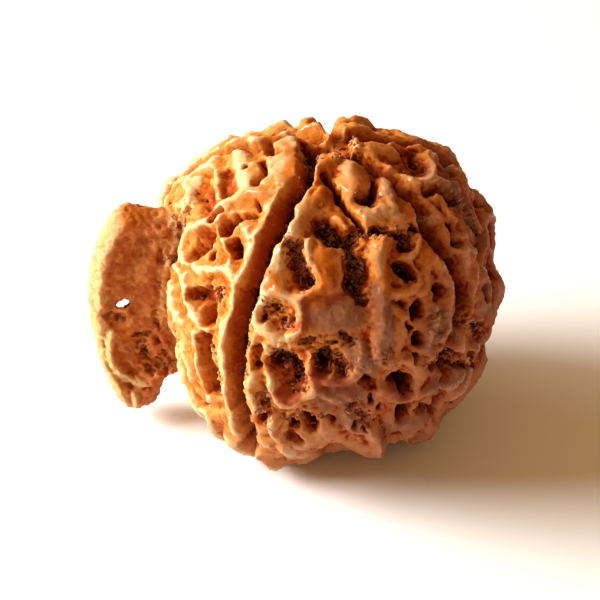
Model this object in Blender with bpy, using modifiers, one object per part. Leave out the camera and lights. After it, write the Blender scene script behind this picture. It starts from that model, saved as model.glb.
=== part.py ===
"""Rudraksha bead: the ridged stone of a rudraksha fruit, with a thin curved outgrowth on its left side.

The script is in metres with +Z up, and its own sizes are in millimetres. The origin is the middle of the
small flat spot that the bead rests on, below the pole. The outgrowth points to -X.
"""

import math

import bmesh
import bpy
import numpy as np
from mathutils import Matrix

MM = 0.001

# The bead, in mm. Its mean surface lies between the hollows and the crests of the ridges, and swells towards
# the outline that the photograph shows.
MEAN_RADIUS = 9.45
MEAN_HALF_HEIGHT = 9.80
CENTRE_HEIGHT = 9.52
FLAT_FADE = (2.6, 5.0)
CREST_LEVEL = 0.35
SWELL_REACH = 0.5

# The five grooves that run from pole to pole, as longitudes in degrees from -Y towards +X.
BACK_GROOVES = (115.0, 187.0, 256.0)
GROOVE_HALF_WIDTH = 0.66
GROOVE_WALL = 0.56
GROOVE_DEPTH = 1.35
RIM_OFFSET = 1.1
RIM_HALF_WIDTH = 0.75
RIM_HEIGHT = 0.60
GROOVE_WANDER = 3.0

# The raised net on the sides that the photograph does not show.
NET_CELLS = 215
NET_SEED = 11
NET_RIDGE_WIDTH = 1.5
NET_HEIGHT = 0.72
NET_DEPTH = 1.05
NET_JITTER = 0.05
NET_WARPS = ((0.50, 4.2, 1), (0.25, 1.9, 4))
NET_FLOOR_SHARES = (0.35, 1.0)
NET_CREST_SHARE = 0.45
NET_CREST_LENGTH = 3.5
NET_ROUNDNESS = 1.2
NET_PIT_DEPTH = 0.75
NET_PIT_RADIUS = 0.8
NET_PIT_SHARE = 0.6
NET_LUMPS = 0.22
NET_LUMP_LENGTH = 3.2
FRONT_NET_SHARE = 0.3
HOLLOW_LEVEL = -0.02

# The outgrowth: a plate in the plane y = 0, as (x, z) in mm from the bead's middle.
FIN_OUTLINE = (
    (-7.6, 5.3), (-9.2, 5.45), (-10.6, 5.4), (-11.9, 5.6), (-12.7, 5.1), (-13.4, 3.95), (-14.1, 2.2),
    (-14.5, 0.2), (-14.6, -1.5), (-14.5, -3.4), (-14.3, -5.0), (-14.0, -6.3), (-13.6, -7.5),
    (-13.1, -8.4), (-12.3, -8.75), (-11.4, -8.6), (-10.8, -7.9), (-10.5, -7.0), (-10.1, -6.3),
    (-9.3, -5.9), (-8.2, -5.9), (-7.2, -5.0), (-7.0, 0.0), (-7.0, 4.0),
)
FIN_THICKNESS = 1.7
FIN_EDGE_ROUND = 0.82
FIN_RIM_SWELL = 0.30
FIN_RIM_INSET = 0.8
FIN_RIM_HALF_WIDTH = 0.65
FIN_BEND = 0.015
FIN_ROOT_X = -9.6
FIN_LUMPS = ((0.10, 2.4, 21), (0.04, 0.9, 22))
HOLE_SPOT = (-12.55, -1.1)
HOLE_HALF_SIZE = (0.42, 0.22)
HOLE_TILT = 22.0
HOLE_SLANT = 34.0
HOLE_PEG = 8.0
FLOOR_BLOCK = 30.0

# The photograph's view of the bead: its elevation, the camera's distance in mm, mm to a pixel at the bead's
# middle, and the pixel of that middle.
VIEW_ELEVATION = 34.0
VIEW_DISTANCE = 84.0
PIXEL = 0.0593
CENTRE_PIXEL = (333.0, 288.0)

# The bead's outline in the photograph, as pixels, clockwise from the outgrowth's upper root.
OUTLINE = (
    (160, 200), (167, 184), (180, 176), (192, 166), (205, 153), (218, 142), (230, 136), (242, 139),
    (250, 133), (260, 135), (272, 131), (286, 128), (296, 130), (304, 120), (320, 119), (326, 127),
    (337, 121), (355, 120), (366, 124), (374, 130), (397, 133), (415, 138), (430, 147), (444, 151),
    (455, 160), (464, 172), (474, 187), (484, 204), (493, 218), (496, 243), (493, 258), (489, 267),
    (500, 285), (503, 298), (500, 320), (492, 338), (486, 347), (488, 360), (476, 382), (463, 400),
    (445, 412), (427, 435), (412, 439), (398, 435), (384, 436), (381, 456), (370, 459), (357, 454),
    (342, 446), (326, 448), (312, 458), (300, 462), (286, 465), (274, 468), (257, 460), (240, 449),
    (226, 436), (210, 425), (203, 409), (190, 397), (182, 380), (176, 340), (165, 315), (163, 290),
    (168, 262), (177, 240), (166, 222),
)

# The two grooves that the photograph shows, as pixels from the upper pole down.
MAIN_GROOVE = (
    (322, 151), (308, 152), (306, 168), (302, 183), (295, 194), (288, 204), (282, 217), (276, 231),
    (270, 244), (263, 257), (257, 270), (251, 285), (246, 300), (241, 315), (238, 330), (237, 345),
    (236, 360), (236, 375), (236, 390), (239, 405), (242, 420), (245, 435), (249, 447),
)
RIGHT_GROOVE = (
    (352, 160), (375, 172), (388, 181), (398, 190), (410, 205), (420, 222), (437, 250), (450, 270),
    (458, 290), (459, 305), (456, 320), (452, 335), (448, 350), (446, 372), (438, 395), (428, 420),
)

# Ridges and lobes of the side in the photograph: half width in pixels, height in mm, and pixels of the line.
RIDGES = (
    # The smooth rims of the main groove.
    (9, 0.62, ((290, 140), (300, 150), (300, 162), (295, 173), (287, 187), (276, 201), (266, 215),
               (258, 230), (252, 250), (244, 270), (236, 290), (229, 308))),
    (8, 0.62, ((229, 308), (223, 325), (221, 345), (222, 362), (223, 380), (225, 400), (227, 420),
               (233, 438))),
    (16, 0.52, ((280, 142), (284, 158), (276, 178))),
    (5, 0.48, ((298, 197), (290, 210), (284, 222), (277, 238), (270, 255), (263, 272), (260, 288),
               (252, 306))),
    (5, 0.45, ((252, 335), (249, 350), (249, 365), (247, 380), (245, 392), (250, 404), (254, 418),
               (257, 434))),
    # The upper left panel, up to the outline.
    (6, 0.50, ((180, 178), (192, 167), (203, 158), (210, 149), (222, 141), (235, 139))),
    (7, 0.48, ((244, 138), (256, 138), (268, 139), (280, 135), (291, 137))),
    (5, 0.48, ((188, 172), (182, 187), (178, 203))),
    (4, 0.30, ((209, 160), (214, 178), (216, 198))),
    (9, 0.42, ((236, 146), (237, 168), (240, 190))),
    (6, 0.58, ((190, 230), (205, 215), (220, 203), (235, 196), (250, 193), (268, 192), (280, 188))),
    # The net between the outgrowth and the main groove.
    (5, 0.50, ((243, 232), (244, 255), (241, 274))),
    (4, 0.50, ((214, 226), (219, 240), (222, 255), (220, 270))),
    (5, 0.56, ((181, 259), (190, 269), (203, 271), (215, 269), (222, 272))),
    (5, 0.50, ((186, 226), (178, 240), (176, 252), (181, 262))),
    (5, 0.50, ((222, 272), (231, 286), (231, 300), (228, 315), (218, 330))),
    (5, 0.50, ((172, 268), (178, 285), (181, 300), (187, 318), (197, 332))),
    (5, 0.45, ((165, 285), (168, 305), (174, 322))),
    (5, 0.45, ((190, 336), (193, 360), (199, 385), (207, 404))),
    (6, 0.40, ((178, 345), (181, 362), (186, 380))),
    # The knot of lobes round the upper pole.
    (10, 0.62, ((305, 128), (315, 127))),
    (9, 0.36, ((344, 129), (355, 128), (366, 132))),
    (8, 0.55, ((366, 146), (388, 146))),
    (5, 0.50, ((352, 139), (356, 156))),
    (5, 0.45, ((392, 138), (408, 140), (420, 146))),
    # The panel between the two grooves.
    (6, 0.56, ((328, 158), (319, 166), (308, 178), (303, 191), (300, 203))),
    (5, 0.50, ((318, 190), (312, 197), (306, 206))),
    (8, 0.56, ((299, 206), (291, 217), (287, 229), (283, 242), (272, 262))),
    (4, 0.35, ((332, 222), (340, 233), (341, 247))),
    (12, 0.56, ((349, 168), (350, 180), (354, 190))),
    (7, 0.66, ((382, 184), (386, 195), (390, 205))),
    (11, 0.66, ((362, 216), (384, 214), (408, 215))),
    (4, 0.60, ((303, 243), (306, 258), (311, 271), (315, 284), (312, 293), (300, 297), (292, 302))),
    (5.5, 0.56, ((260, 298), (252, 309), (252, 323), (262, 336), (278, 343), (291, 335), (298, 318),
                 (294, 303), (277, 297), (260, 298))),
    (8, 0.52, ((277, 250), (271, 265), (268, 282), (273, 293))),
    (12, 0.58, ((321, 257), (323, 270), (322, 283))),
    (14, 0.36, ((310, 316), (338, 316))),
    (8, 0.68, ((387, 232), (381, 244), (377, 256), (378, 272), (381, 290), (382, 310), (382, 330),
               (380, 348), (378, 360))),
    (5, 0.55, ((416, 236), (412, 250), (406, 259), (409, 269), (415, 279), (411, 290), (400, 294),
               (386, 293))),
    (5, 0.45, ((424, 252), (426, 268), (424, 284), (420, 296))),
    (4.5, 0.50, ((430, 260), (440, 270), (446, 283), (449, 297), (447, 311), (446, 325), (440, 340))),
    (4, 0.45, ((386, 308), (398, 314), (404, 324), (402, 340), (396, 352), (392, 364))),
    (9, 0.40, ((434, 310), (431, 328), (426, 346))),
    (9, 0.38, ((393, 328), (391, 350))),
    # Right of the right groove.
    (6, 0.62, ((357, 155), (375, 162), (392, 172), (403, 185), (415, 200), (428, 215), (440, 228))),
    (9, 0.55, ((420, 208), (434, 222))),
    (8, 0.52, ((452, 236), (459, 250), (464, 266))),
    (4, 0.62, ((461, 247), (470, 256), (474, 268), (473, 282), (473, 298), (472, 318))),
    (5, 0.58, ((430, 150), (431, 163), (428, 177))),
    (6, 0.60, ((405, 178), (420, 182), (432, 179), (445, 181), (455, 185))),
    (4, 0.66, ((456, 183), (460, 192), (463, 202), (470, 212), (479, 217))),
    (3.5, 0.62, ((434, 196), (442, 205), (448, 215), (455, 220))),
    (3.5, 0.58, ((460, 236), (468, 241), (474, 250), (472, 260))),
    (5, 0.50, ((452, 158), (460, 170), (468, 184))),
    (4, 0.62, ((478, 217), (484, 228), (487, 240), (486, 250), (482, 262))),
    (9, 0.62, ((484, 276), (489, 290), (488, 305))),
    (5, 0.48, ((460, 330), (462, 345), (460, 358))),
    (5, 0.45, ((484, 322), (484, 340), (478, 352))),
    # The lower front.
    (4.5, 0.52, ((262, 352), (266, 370), (266, 388), (272, 400), (282, 407), (296, 405), (306, 398),
                 (311, 387), (305, 374), (307, 360))),
    (5, 0.45, ((296, 348), (282, 346), (266, 345))),
    (5, 0.52, ((265, 425), (270, 437), (278, 450), (290, 459), (305, 460))),
    (12, 0.46, ((300, 447), (318, 440))),
    (7, 0.46, ((255, 442), (262, 455))),
    (6, 0.46, ((276, 458), (284, 462))),
    (5, 0.46, ((318, 376), (330, 384), (344, 384), (356, 372))),
    (5, 0.44, ((316, 396), (330, 402), (346, 400))),
    (4, 0.40, ((340, 410), (344, 424), (356, 434), (368, 432))),
    (6, 0.60, ((374, 440), (378, 449), (380, 456))),
    (5, 0.46, ((356, 352), (364, 362), (366, 372))),
    (6, 0.50, ((384, 364), (398, 362), (410, 366), (418, 374), (419, 386), (414, 398))),
    (5, 0.50, ((380, 395), (392, 402), (406, 402), (420, 399), (440, 392))),
    (3, 0.34, ((440, 405), (453, 390), (466, 376))),
    (4, 0.36, ((452, 402), (464, 388), (474, 372))),
    (9, 0.42, ((393, 429), (420, 428))),
)

# Pits of the same side: half width in pixels, depth in mm, and pixels of the line along the pit.
PITS = (
    (11, 0.18, ((203, 192), (206, 208))),
    (3, 0.40, ((200, 196), (203, 208))),
    (3, 0.40, ((210, 190), (212, 203))),
    (6, 0.30, ((226, 176), (228, 193))),
    (3, 0.50, ((245, 172), (245, 173))),
    (4.5, 0.45, ((264, 168), (264, 177), (255, 189))),
    (5, 0.40, ((270, 153), (273, 160))),
    (3, 0.30, ((211, 222), (223, 213))),
    (7.5, 0.75, ((226, 230), (235, 224))),
    (3, 0.40, ((243, 220), (250, 219))),
    (3.5, 0.50, ((256, 208), (257, 212))),
    (9, 0.60, ((206, 238), (193, 257))),
    (5, 0.75, ((207, 238), (208, 240))),
    (4, 0.60, ((210, 254), (209, 259))),
    (7.5, 0.95, ((233, 249), (233, 252))),
    (8, 0.80, ((194, 297), (201, 297), (206, 307), (206, 320))),
    (4, 1.35, ((205, 289), (206, 299))),
    (3, 0.70, ((215, 293), (215, 299))),
    (2, 0.50, ((172, 291), (172, 303))),
    (2.5, 0.60, ((182, 328), (190, 342))),
    (8, 1.15, ((203, 340), (207, 365), (212, 390))),
    (4.5, 1.45, ((209, 366), (211, 376))),
    (2.5, 0.50, ((200, 410), (215, 412))),
    (3.5, 0.95, ((303, 150), (318, 152), (330, 153))),
    (9, 0.25, ((338, 142), (342, 154))),
    (4, 0.80, ((322, 180), (335, 200), (345, 215), (358, 231))),
    (11, 1.35, ((317, 229), (330, 240))),
    (5, 1.15, ((357, 202), (368, 202))),
    (3, 1.00, ((368, 184), (370, 196), (368, 203))),
    (5, 1.15, ((371, 234), (383, 238), (395, 237))),
    (3, 0.90, ((403, 230), (413, 234))),
    (9, 0.90, ((290, 250), (294, 266), (299, 280))),
    (5, 1.35, ((299, 281), (303, 285))),
    (10, 0.05, ((268, 312), (278, 321))),
    (3, 0.45, ((267, 308), (273, 309))),
    (2.5, 0.40, ((262, 317), (264, 321))),
    (2.5, 0.35, ((277, 322), (279, 325))),
    (8, 1.30, ((346, 238), (347, 252))),
    (11, 1.55, ((353, 264), (350, 284))),
    (7, 1.25, ((351, 292), (357, 300))),
    (3, 0.70, ((337, 262), (341, 274))),
    (8, 1.20, ((398, 269), (403, 275))),
    (6.5, 1.05, ((400, 239), (402, 247))),
    (6, 1.25, ((413, 310), (411, 316))),
    (3, 0.50, ((401, 322), (404, 327))),
    (4.5, 1.00, ((414, 337), (415, 342))),
    (3, 0.75, ((399, 303), (400, 304))),
    (3, 0.75, ((405, 329), (406, 330))),
    (3, 0.60, ((410, 353), (409, 359))),
    (3, 0.45, ((299, 341), (311, 339))),
    (2.5, 0.40, ((321, 343), (333, 346))),
    (3.5, 0.55, ((340, 336), (346, 341))),
    (10, 0.22, ((407, 157), (416, 170))),
    (4, 0.75, ((410, 158), (414, 164))),
    (8, 0.85, ((443, 159), (447, 172))),
    (7, 0.85, ((470, 186), (477, 204))),
    (6, 1.00, ((421, 192), (433, 195), (452, 204))),
    (4, 1.25, ((434, 198), (438, 199))),
    (7, 0.60, ((461, 214), (474, 232))),
    (4, 0.95, ((470, 221), (475, 229))),
    (5, 0.85, ((463, 243), (470, 250))),
    (5, 0.85, ((444, 228), (449, 245))),
    (3, 1.00, ((476, 286), (477, 301))),
    (8, 0.60, ((472, 322), (480, 336))),
    (3.5, 1.05, ((470, 324), (471, 327))),
    (3, 1.00, ((482, 327), (483, 329))),
    (3, 0.95, ((472, 339), (473, 341))),
    (5, 0.80, ((432, 289), (433, 297))),
    (14, 0.75, ((277, 362), (291, 378))),
    (7, 1.45, ((274, 360), (275, 365))),
    (8, 1.60, ((290, 369), (294, 380))),
    (8, 1.45, ((318, 357), (320, 366))),
    (8, 0.45, ((334, 362), (338, 368))),
    (3.5, 0.85, ((334, 367), (338, 371))),
    (5, 0.30, ((255, 350), (256, 368))),
    (5, 0.55, ((259, 397), (262, 403))),
    (7, 0.80, ((260, 416), (260, 419))),
    (6, 1.45, ((290, 425), (292, 429))),
    (7.5, 1.50, ((305, 419), (309, 425))),
    (7, 0.30, ((288, 437), (298, 438))),
    (4, 0.55, ((323, 414), (328, 421))),
    (7, 0.30, ((361, 380), (369, 386))),
    (3, 0.80, ((362, 381), (366, 383))),
    (3, 0.90, ((367, 396), (368, 401))),
    (3, 0.60, ((375, 406), (376, 409))),
    (6, 0.25, ((360, 412), (361, 420))),
    (2.5, 0.70, ((354, 411), (358, 409))),
    (2.5, 0.60, ((353, 421), (354, 424))),
    (2.5, 0.60, ((362, 426), (364, 428))),
    (8.5, 1.50, ((393, 380), (398, 386))),
    (3, 0.80, ((405, 378), (406, 388))),
    (7, 1.40, ((403, 408), (401, 415))),
    (6, 0.80, ((416, 411), (424, 409))),
    (3, 0.70, ((434, 412), (436, 422))),
    (5, 1.10, ((450, 356), (455, 357))),
    (4.5, 1.00, ((469, 356), (471, 357))),
    (4, 0.85, ((437, 354), (437, 357))),
    (4, 0.75, ((453, 366), (474, 367))),
    (6, 0.70, ((430, 366), (437, 370))),
    (4, 0.80, ((452, 330), (450, 345))),
)
PIT_WALL = 0.6
PIT_OVERSIZE = 1.15
RIDGE_OVERSIZE = 1.75
RIDGE_BLEND = 0.10
RIM_BLEND = 0.15
LINE_WARPS = ((0.09, 1.7, 30), (0.05, 0.7, 40))
PIT_LEVEL = 0.0
GROOVE_LEVEL = 0.0
VIEW_DEPTH_SHARE = 0.5
SEEN_FROM = 0.05
SEEN_FADE = 0.22

# Low swellings and small lumps over the whole bead: height in mm, length in mm, and seed.
LUMPS = ((0.10, 7.0, 3), (0.05, 1.6, 4), (0.03, 0.8, 5))

# Swellings and pits of the outgrowth's front, the same way. A height below 0 is a pit.
FIN_RELIEF = (
    (5, 0.45, ((114, 325), (114, 342), (119, 356), (128, 366), (142, 371))),
    (3, -0.30, ((106, 328), (108, 346), (113, 362), (123, 374), (136, 379))),
    (5, 0.35, ((102, 295), (104, 298))),
    (6, 0.50, ((138, 384), (141, 394))),
    (11, -0.55, ((107, 311), (121, 312))),
    (12, -0.45, ((143, 338), (152, 352), (164, 356))),
    (5, -0.65, ((136, 329), (150, 327))),
    (5, -0.60, ((144, 344), (146, 350))),
    (5, -0.60, ((150, 360), (153, 363))),
    (4, -0.55, ((164, 342), (166, 346))),
    (4, -0.50, ((158, 329), (160, 333))),
    (3.5, -0.50, ((159, 351), (161, 354))),
    (3.5, -0.50, ((172, 351), (173, 354))),
    (4, -0.50, ((168, 360), (170, 362))),
    (3, -0.45, ((137, 369), (141, 372))),
    (4, -0.45, ((148, 379), (154, 377))),
    (16, -0.22, ((134, 238), (134, 270), (136, 300))),
    (4, -0.35, ((160, 240), (163, 255))),
    (4, -0.35, ((154, 300), (160, 318))),
)

# Mesh fineness: the first sphere, the size of the cubes that fuse it to the outgrowth, and the last count.
SPHERE_DIVISIONS = 7
FUSE_SIZE = 0.16
FUSE_SMOOTHING = 2
TRIANGLES = 10900


def view_axes():
    """The photograph's right, up and ahead, as rows."""
    tilt = math.radians(VIEW_ELEVATION)
    return np.array((
        (1.0, 0.0, 0.0),
        (0.0, math.sin(tilt), math.cos(tilt)),
        (0.0, math.cos(tilt), -math.sin(tilt)),
    ))


def view_rays(pixels):
    """The camera's place and the direction to each pixel, in mm from the bead's middle."""
    right, up, ahead = view_axes()
    offsets = (np.asarray(pixels, float) - CENTRE_PIXEL) * PIXEL
    eye = -VIEW_DISTANCE * ahead
    return eye, offsets[:, :1] * right - offsets[:, 1:] * up - eye


def off_flat(points):
    """0 over the flat spot under the bead, and 1 away from it."""
    start, end = FLAT_FADE
    away = smooth_step((np.hypot(points[:, 0], points[:, 1]) - start) / (end - start))
    return np.where(points[:, 2] < 0, away, 1.0)


def swelling(units):
    """How far the mean surface stands out from its ellipsoid in these directions, to meet the outline."""
    right, up, ahead = view_axes()
    across, upward = units @ right, units @ up
    outline = (np.array(OUTLINE) - CENTRE_PIXEL) * PIXEL
    turns = np.arctan2(-outline[:, 1], outline[:, 0])
    order = np.argsort(turns)
    wide = math.hypot(MEAN_RADIUS * math.sin(math.radians(VIEW_ELEVATION)),
                      MEAN_HALF_HEIGHT * math.cos(math.radians(VIEW_ELEVATION)))
    nearness = math.sqrt(1 - (MEAN_RADIUS / VIEW_DISTANCE) ** 2)
    reach = np.hypot(outline[:, 0], outline[:, 1]) * nearness
    plain = 1 / np.hypot(np.cos(turns) / MEAN_RADIUS, np.sin(turns) / wide)
    extra = np.interp(np.arctan2(upward, across), turns[order], (reach - plain)[order] - CREST_LEVEL,
                      period=2 * math.pi)
    return extra * np.exp(-((units @ ahead) / SWELL_REACH) ** 2) * off_flat(units * MEAN_RADIUS)


def mean_surface(units):
    """The points of the mean surface in these directions from the bead's middle."""
    radii = np.array((MEAN_RADIUS, MEAN_RADIUS, MEAN_HALF_HEIGHT))
    plain = 1 / np.linalg.norm(units / radii, axis=1)
    return units * (plain + swelling(units))[:, None]


def unit(vectors):
    return vectors / np.linalg.norm(vectors, axis=-1, keepdims=True)


def on_bead(pixels, level):
    """The points of the mean surface under what the photograph shows at these pixels, level mm above it."""
    eye, rays = view_rays(pixels)
    a, b = (rays * rays).sum(axis=1), rays @ eye
    radius = np.full(len(rays), MEAN_RADIUS)
    for _ in range(8):
        reach = (-b - np.sqrt(np.maximum(b * b - a * (eye @ eye - radius * radius), 0))) / a
        units = unit(eye + rays * reach[:, None])
        radius = np.linalg.norm(mean_surface(units), axis=1) + level
    return mean_surface(units)


def on_fin(pixels):
    """The points of the outgrowth's plane that the photograph shows at these pixels."""
    eye, rays = view_rays(pixels)
    return eye - rays * (eye[1] / rays[:, 1])[:, None]


def rounded_line(points, steps=4):
    """The points with more between them on a smooth curve through them all."""
    points = np.asarray(points, float)
    if len(points) < 3:
        return points
    ends = np.vstack((2 * points[0] - points[1], points, 2 * points[-1] - points[-2]))
    rows = []
    for before, here, after, beyond in zip(ends, ends[1:], ends[2:], ends[3:]):
        for step in range(steps):
            t = step / steps
            rows.append(0.5 * (2 * here + (after - before) * t
                               + (2 * before - 5 * here + 4 * after - beyond) * t * t
                               + (3 * here - before - 3 * after + beyond) * t ** 3))
    rows.append(points[-1])
    return np.array(rows)


def smooth_step(value):
    value = np.clip(value, 0.0, 1.0)
    return value * value * (3.0 - 2.0 * value)


def soft_max(first, second, blend):
    """The higher of two surfaces, rounded where they cross."""
    overlap = np.maximum(blend - np.abs(first - second), 0.0)
    return np.maximum(first, second) + overlap * overlap / (4.0 * blend)


def line_distance(points, line, reach):
    """Which points lie within reach of a line, and their distances from it."""
    middle = (line.min(axis=0) + line.max(axis=0)) / 2
    span = np.linalg.norm(line - middle, axis=1).max() + reach
    near = np.flatnonzero(((points - middle) ** 2).sum(axis=1) < span * span)
    close = points[near]
    best = np.full(len(near), np.inf)
    for start, end in zip(line, line[1:]):
        along = end - start
        share = np.clip((close - start) @ along / max(along @ along, 1e-9), 0.0, 1.0)
        best = np.minimum(best, ((close - start - share[:, None] * along) ** 2).sum(axis=1))
    return near, np.sqrt(best)


def waves(points, length, seed, count=14):
    """A smooth random field from -1 to 1 or so, whose bumps are about this long."""
    random = np.random.default_rng(seed)
    directions = random.normal(size=(count, 3))
    directions /= np.linalg.norm(directions, axis=1)[:, None]
    turns = 2 * math.pi / length * random.uniform(0.6, 1.3, count)
    phases = random.uniform(0, 2 * math.pi, count)
    return np.sin(points @ (directions * turns[:, None]).T + phases).sum(axis=1) / math.sqrt(count)


def meridian(longitude, seed):
    """A groove's line down the mean surface from pole to pole, with a slight wander."""
    random = np.random.default_rng(seed)
    latitudes = np.radians(np.linspace(84, -86, 18))
    turns = math.radians(longitude) + np.radians(random.normal(0, GROOVE_WANDER, len(latitudes)))
    level = np.cos(latitudes)
    return mean_surface(rounded_line(np.stack(
        (level * np.sin(turns), -level * np.cos(turns), np.sin(latitudes)), axis=1)))


def down_to_pole(line):
    """The same line, carried on over the unseen underside to the lower pole."""
    pole = np.array((0.0, 0.0, -MEAN_HALF_HEIGHT))
    more = np.array([line[-1] + (pole - line[-1]) * share for share in (0.25, 0.5, 0.75, 0.95)])
    return np.vstack((line, mean_surface(unit(more))))


def net(points):
    """The raised net of the unseen sides: rounded ridges between warped cells, with pits in some of them."""
    random = np.random.default_rng(NET_SEED)
    order = np.arange(NET_CELLS) + 0.5
    polar = np.arccos(1 - 2 * order / NET_CELLS)
    turn = math.pi * (1 + math.sqrt(5)) * order
    seeds = np.stack((np.cos(turn) * np.sin(polar), np.sin(turn) * np.sin(polar), np.cos(polar)), axis=1)
    seeds = mean_surface(unit(seeds + random.normal(0, NET_JITTER, seeds.shape)))
    floors = -NET_DEPTH * random.uniform(*NET_FLOOR_SHARES, NET_CELLS)
    pits = NET_PIT_DEPTH * (random.uniform(size=NET_CELLS) < NET_PIT_SHARE)
    places = points.copy()
    for amount, length, seed in NET_WARPS:
        shifts = [waves(points, length, NET_SEED + seed + axis) for axis in range(3)]
        places += amount * np.stack(shifts, axis=1)
    uneven = smooth_step(0.5 + 0.8 * waves(points, NET_CREST_LENGTH, NET_SEED + 9))
    crests = NET_HEIGHT * (1 - NET_CREST_SHARE + NET_CREST_SHARE * uneven)
    height = np.empty(len(points))
    for start in range(0, len(points), 20000):
        part = slice(start, start + 20000)
        distances = np.linalg.norm(places[part, None] - seeds[None], axis=2)
        nearest = distances.argmin(axis=1)
        distances.sort(axis=1)
        share = np.clip((distances[:, 1] - distances[:, 0]) / NET_RIDGE_WIDTH, 0.0, 1.0)
        floor = floors[nearest]
        rise = (1 - share * share) ** NET_ROUNDNESS
        height[part] = floor + (crests[part] - floor) * rise
        height[part] -= pits[nearest] * smooth_step(1.8 * (1 - distances[:, 0] / NET_PIT_RADIUS))
    return height + NET_LUMPS * waves(points, NET_LUMP_LENGTH, NET_SEED + 8)


def seen_flat(points):
    """The points pressed together along the view, so that lines near the outline keep their seen width."""
    ahead = view_axes()[2]
    return points - (1 - VIEW_DEPTH_SHARE) * (points @ ahead)[:, None] * ahead


def seen_share(points):
    """1 on the side that the photograph shows, 0 on the far side, and between them along the outline."""
    facing = -unit(points) @ view_axes()[2]
    return smooth_step((facing - SEEN_FROM) / SEEN_FADE)


def bead_relief(points):
    """Height in mm over the mean surface at these points of it."""
    places = points.copy()
    for amount, length, seed in LINE_WARPS:
        places += amount * np.stack([waves(points, length, seed + axis) for axis in range(3)], axis=1)
    pictured = seen_flat(places)
    unseen = net(points)
    drawn = HOLLOW_LEVEL + FRONT_NET_SHARE * unseen
    for half_width, height, pixels in RIDGES:
        width = half_width * PIXEL * RIDGE_OVERSIZE
        line = seen_flat(on_bead(rounded_line(pixels), height))
        near, distance = line_distance(pictured, line, width)
        bell = np.clip(1 - (distance / width) ** 2, 0.0, 1.0) ** 1.5
        crest = HOLLOW_LEVEL + (height - HOLLOW_LEVEL) * bell
        drawn[near] = soft_max(drawn[near], crest, RIDGE_BLEND)
    for half_width, depth, pixels in PITS:
        width = half_width * PIXEL * PIT_OVERSIZE
        line = seen_flat(on_bead(rounded_line(pixels), PIT_LEVEL))
        near, distance = line_distance(pictured, line, width)
        open_share = smooth_step((1 - distance / width) / PIT_WALL)
        drawn[near] += (-depth - drawn[near]) * open_share
    grooves = [down_to_pole(on_bead(rounded_line(pixels), GROOVE_LEVEL))
               for pixels in (MAIN_GROOVE, RIGHT_GROOVE)]
    grooves += [meridian(longitude, int(longitude)) for longitude in BACK_GROOVES]
    for line in grooves:
        near, distance = line_distance(places, line, RIM_OFFSET + RIM_HALF_WIDTH)
        rim = RIM_HEIGHT * np.clip(1 - ((distance - RIM_OFFSET) / RIM_HALF_WIDTH) ** 2, 0.0, 1.0)
        unseen[near] = soft_max(unseen[near], rim, RIM_BLEND)
    height = unseen + (drawn - unseen) * seen_share(points)
    for line in grooves:
        near, distance = line_distance(places, line, GROOVE_HALF_WIDTH)
        open_share = smooth_step((GROOVE_HALF_WIDTH - distance) / GROOVE_WALL)
        height[near] += (-GROOVE_DEPTH - height[near]) * open_share
    for amount, length, seed in LUMPS:
        height += amount * waves(points, length, seed)
    return height * off_flat(points)


def make_bead(name):
    """The round body, as one mesh object whose middle is at the origin."""
    mesh = bpy.data.meshes.new(name)
    shape = bmesh.new()
    bmesh.ops.create_icosphere(shape, subdivisions=SPHERE_DIVISIONS, radius=1.0)
    shape.to_mesh(mesh)
    shape.free()
    ball = np.empty(len(mesh.vertices) * 3, np.float32)
    mesh.vertices.foreach_get("co", ball)
    units = unit(ball.reshape(-1, 3).astype(float))
    surface = mean_surface(units)
    grown = surface + units * bead_relief(surface)[:, None]
    mesh.vertices.foreach_set("co", (grown * MM).astype(np.float32).ravel())
    return bpy.data.objects.new(name, mesh)


def evaluated_mesh(obj, name):
    """A plain mesh of the object as its modifiers leave it, in world space."""
    graph = bpy.context.evaluated_depsgraph_get()
    mesh = bpy.data.meshes.new_from_object(obj.evaluated_get(graph))
    mesh.name = name
    mesh.transform(obj.matrix_world)
    return mesh


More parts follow.
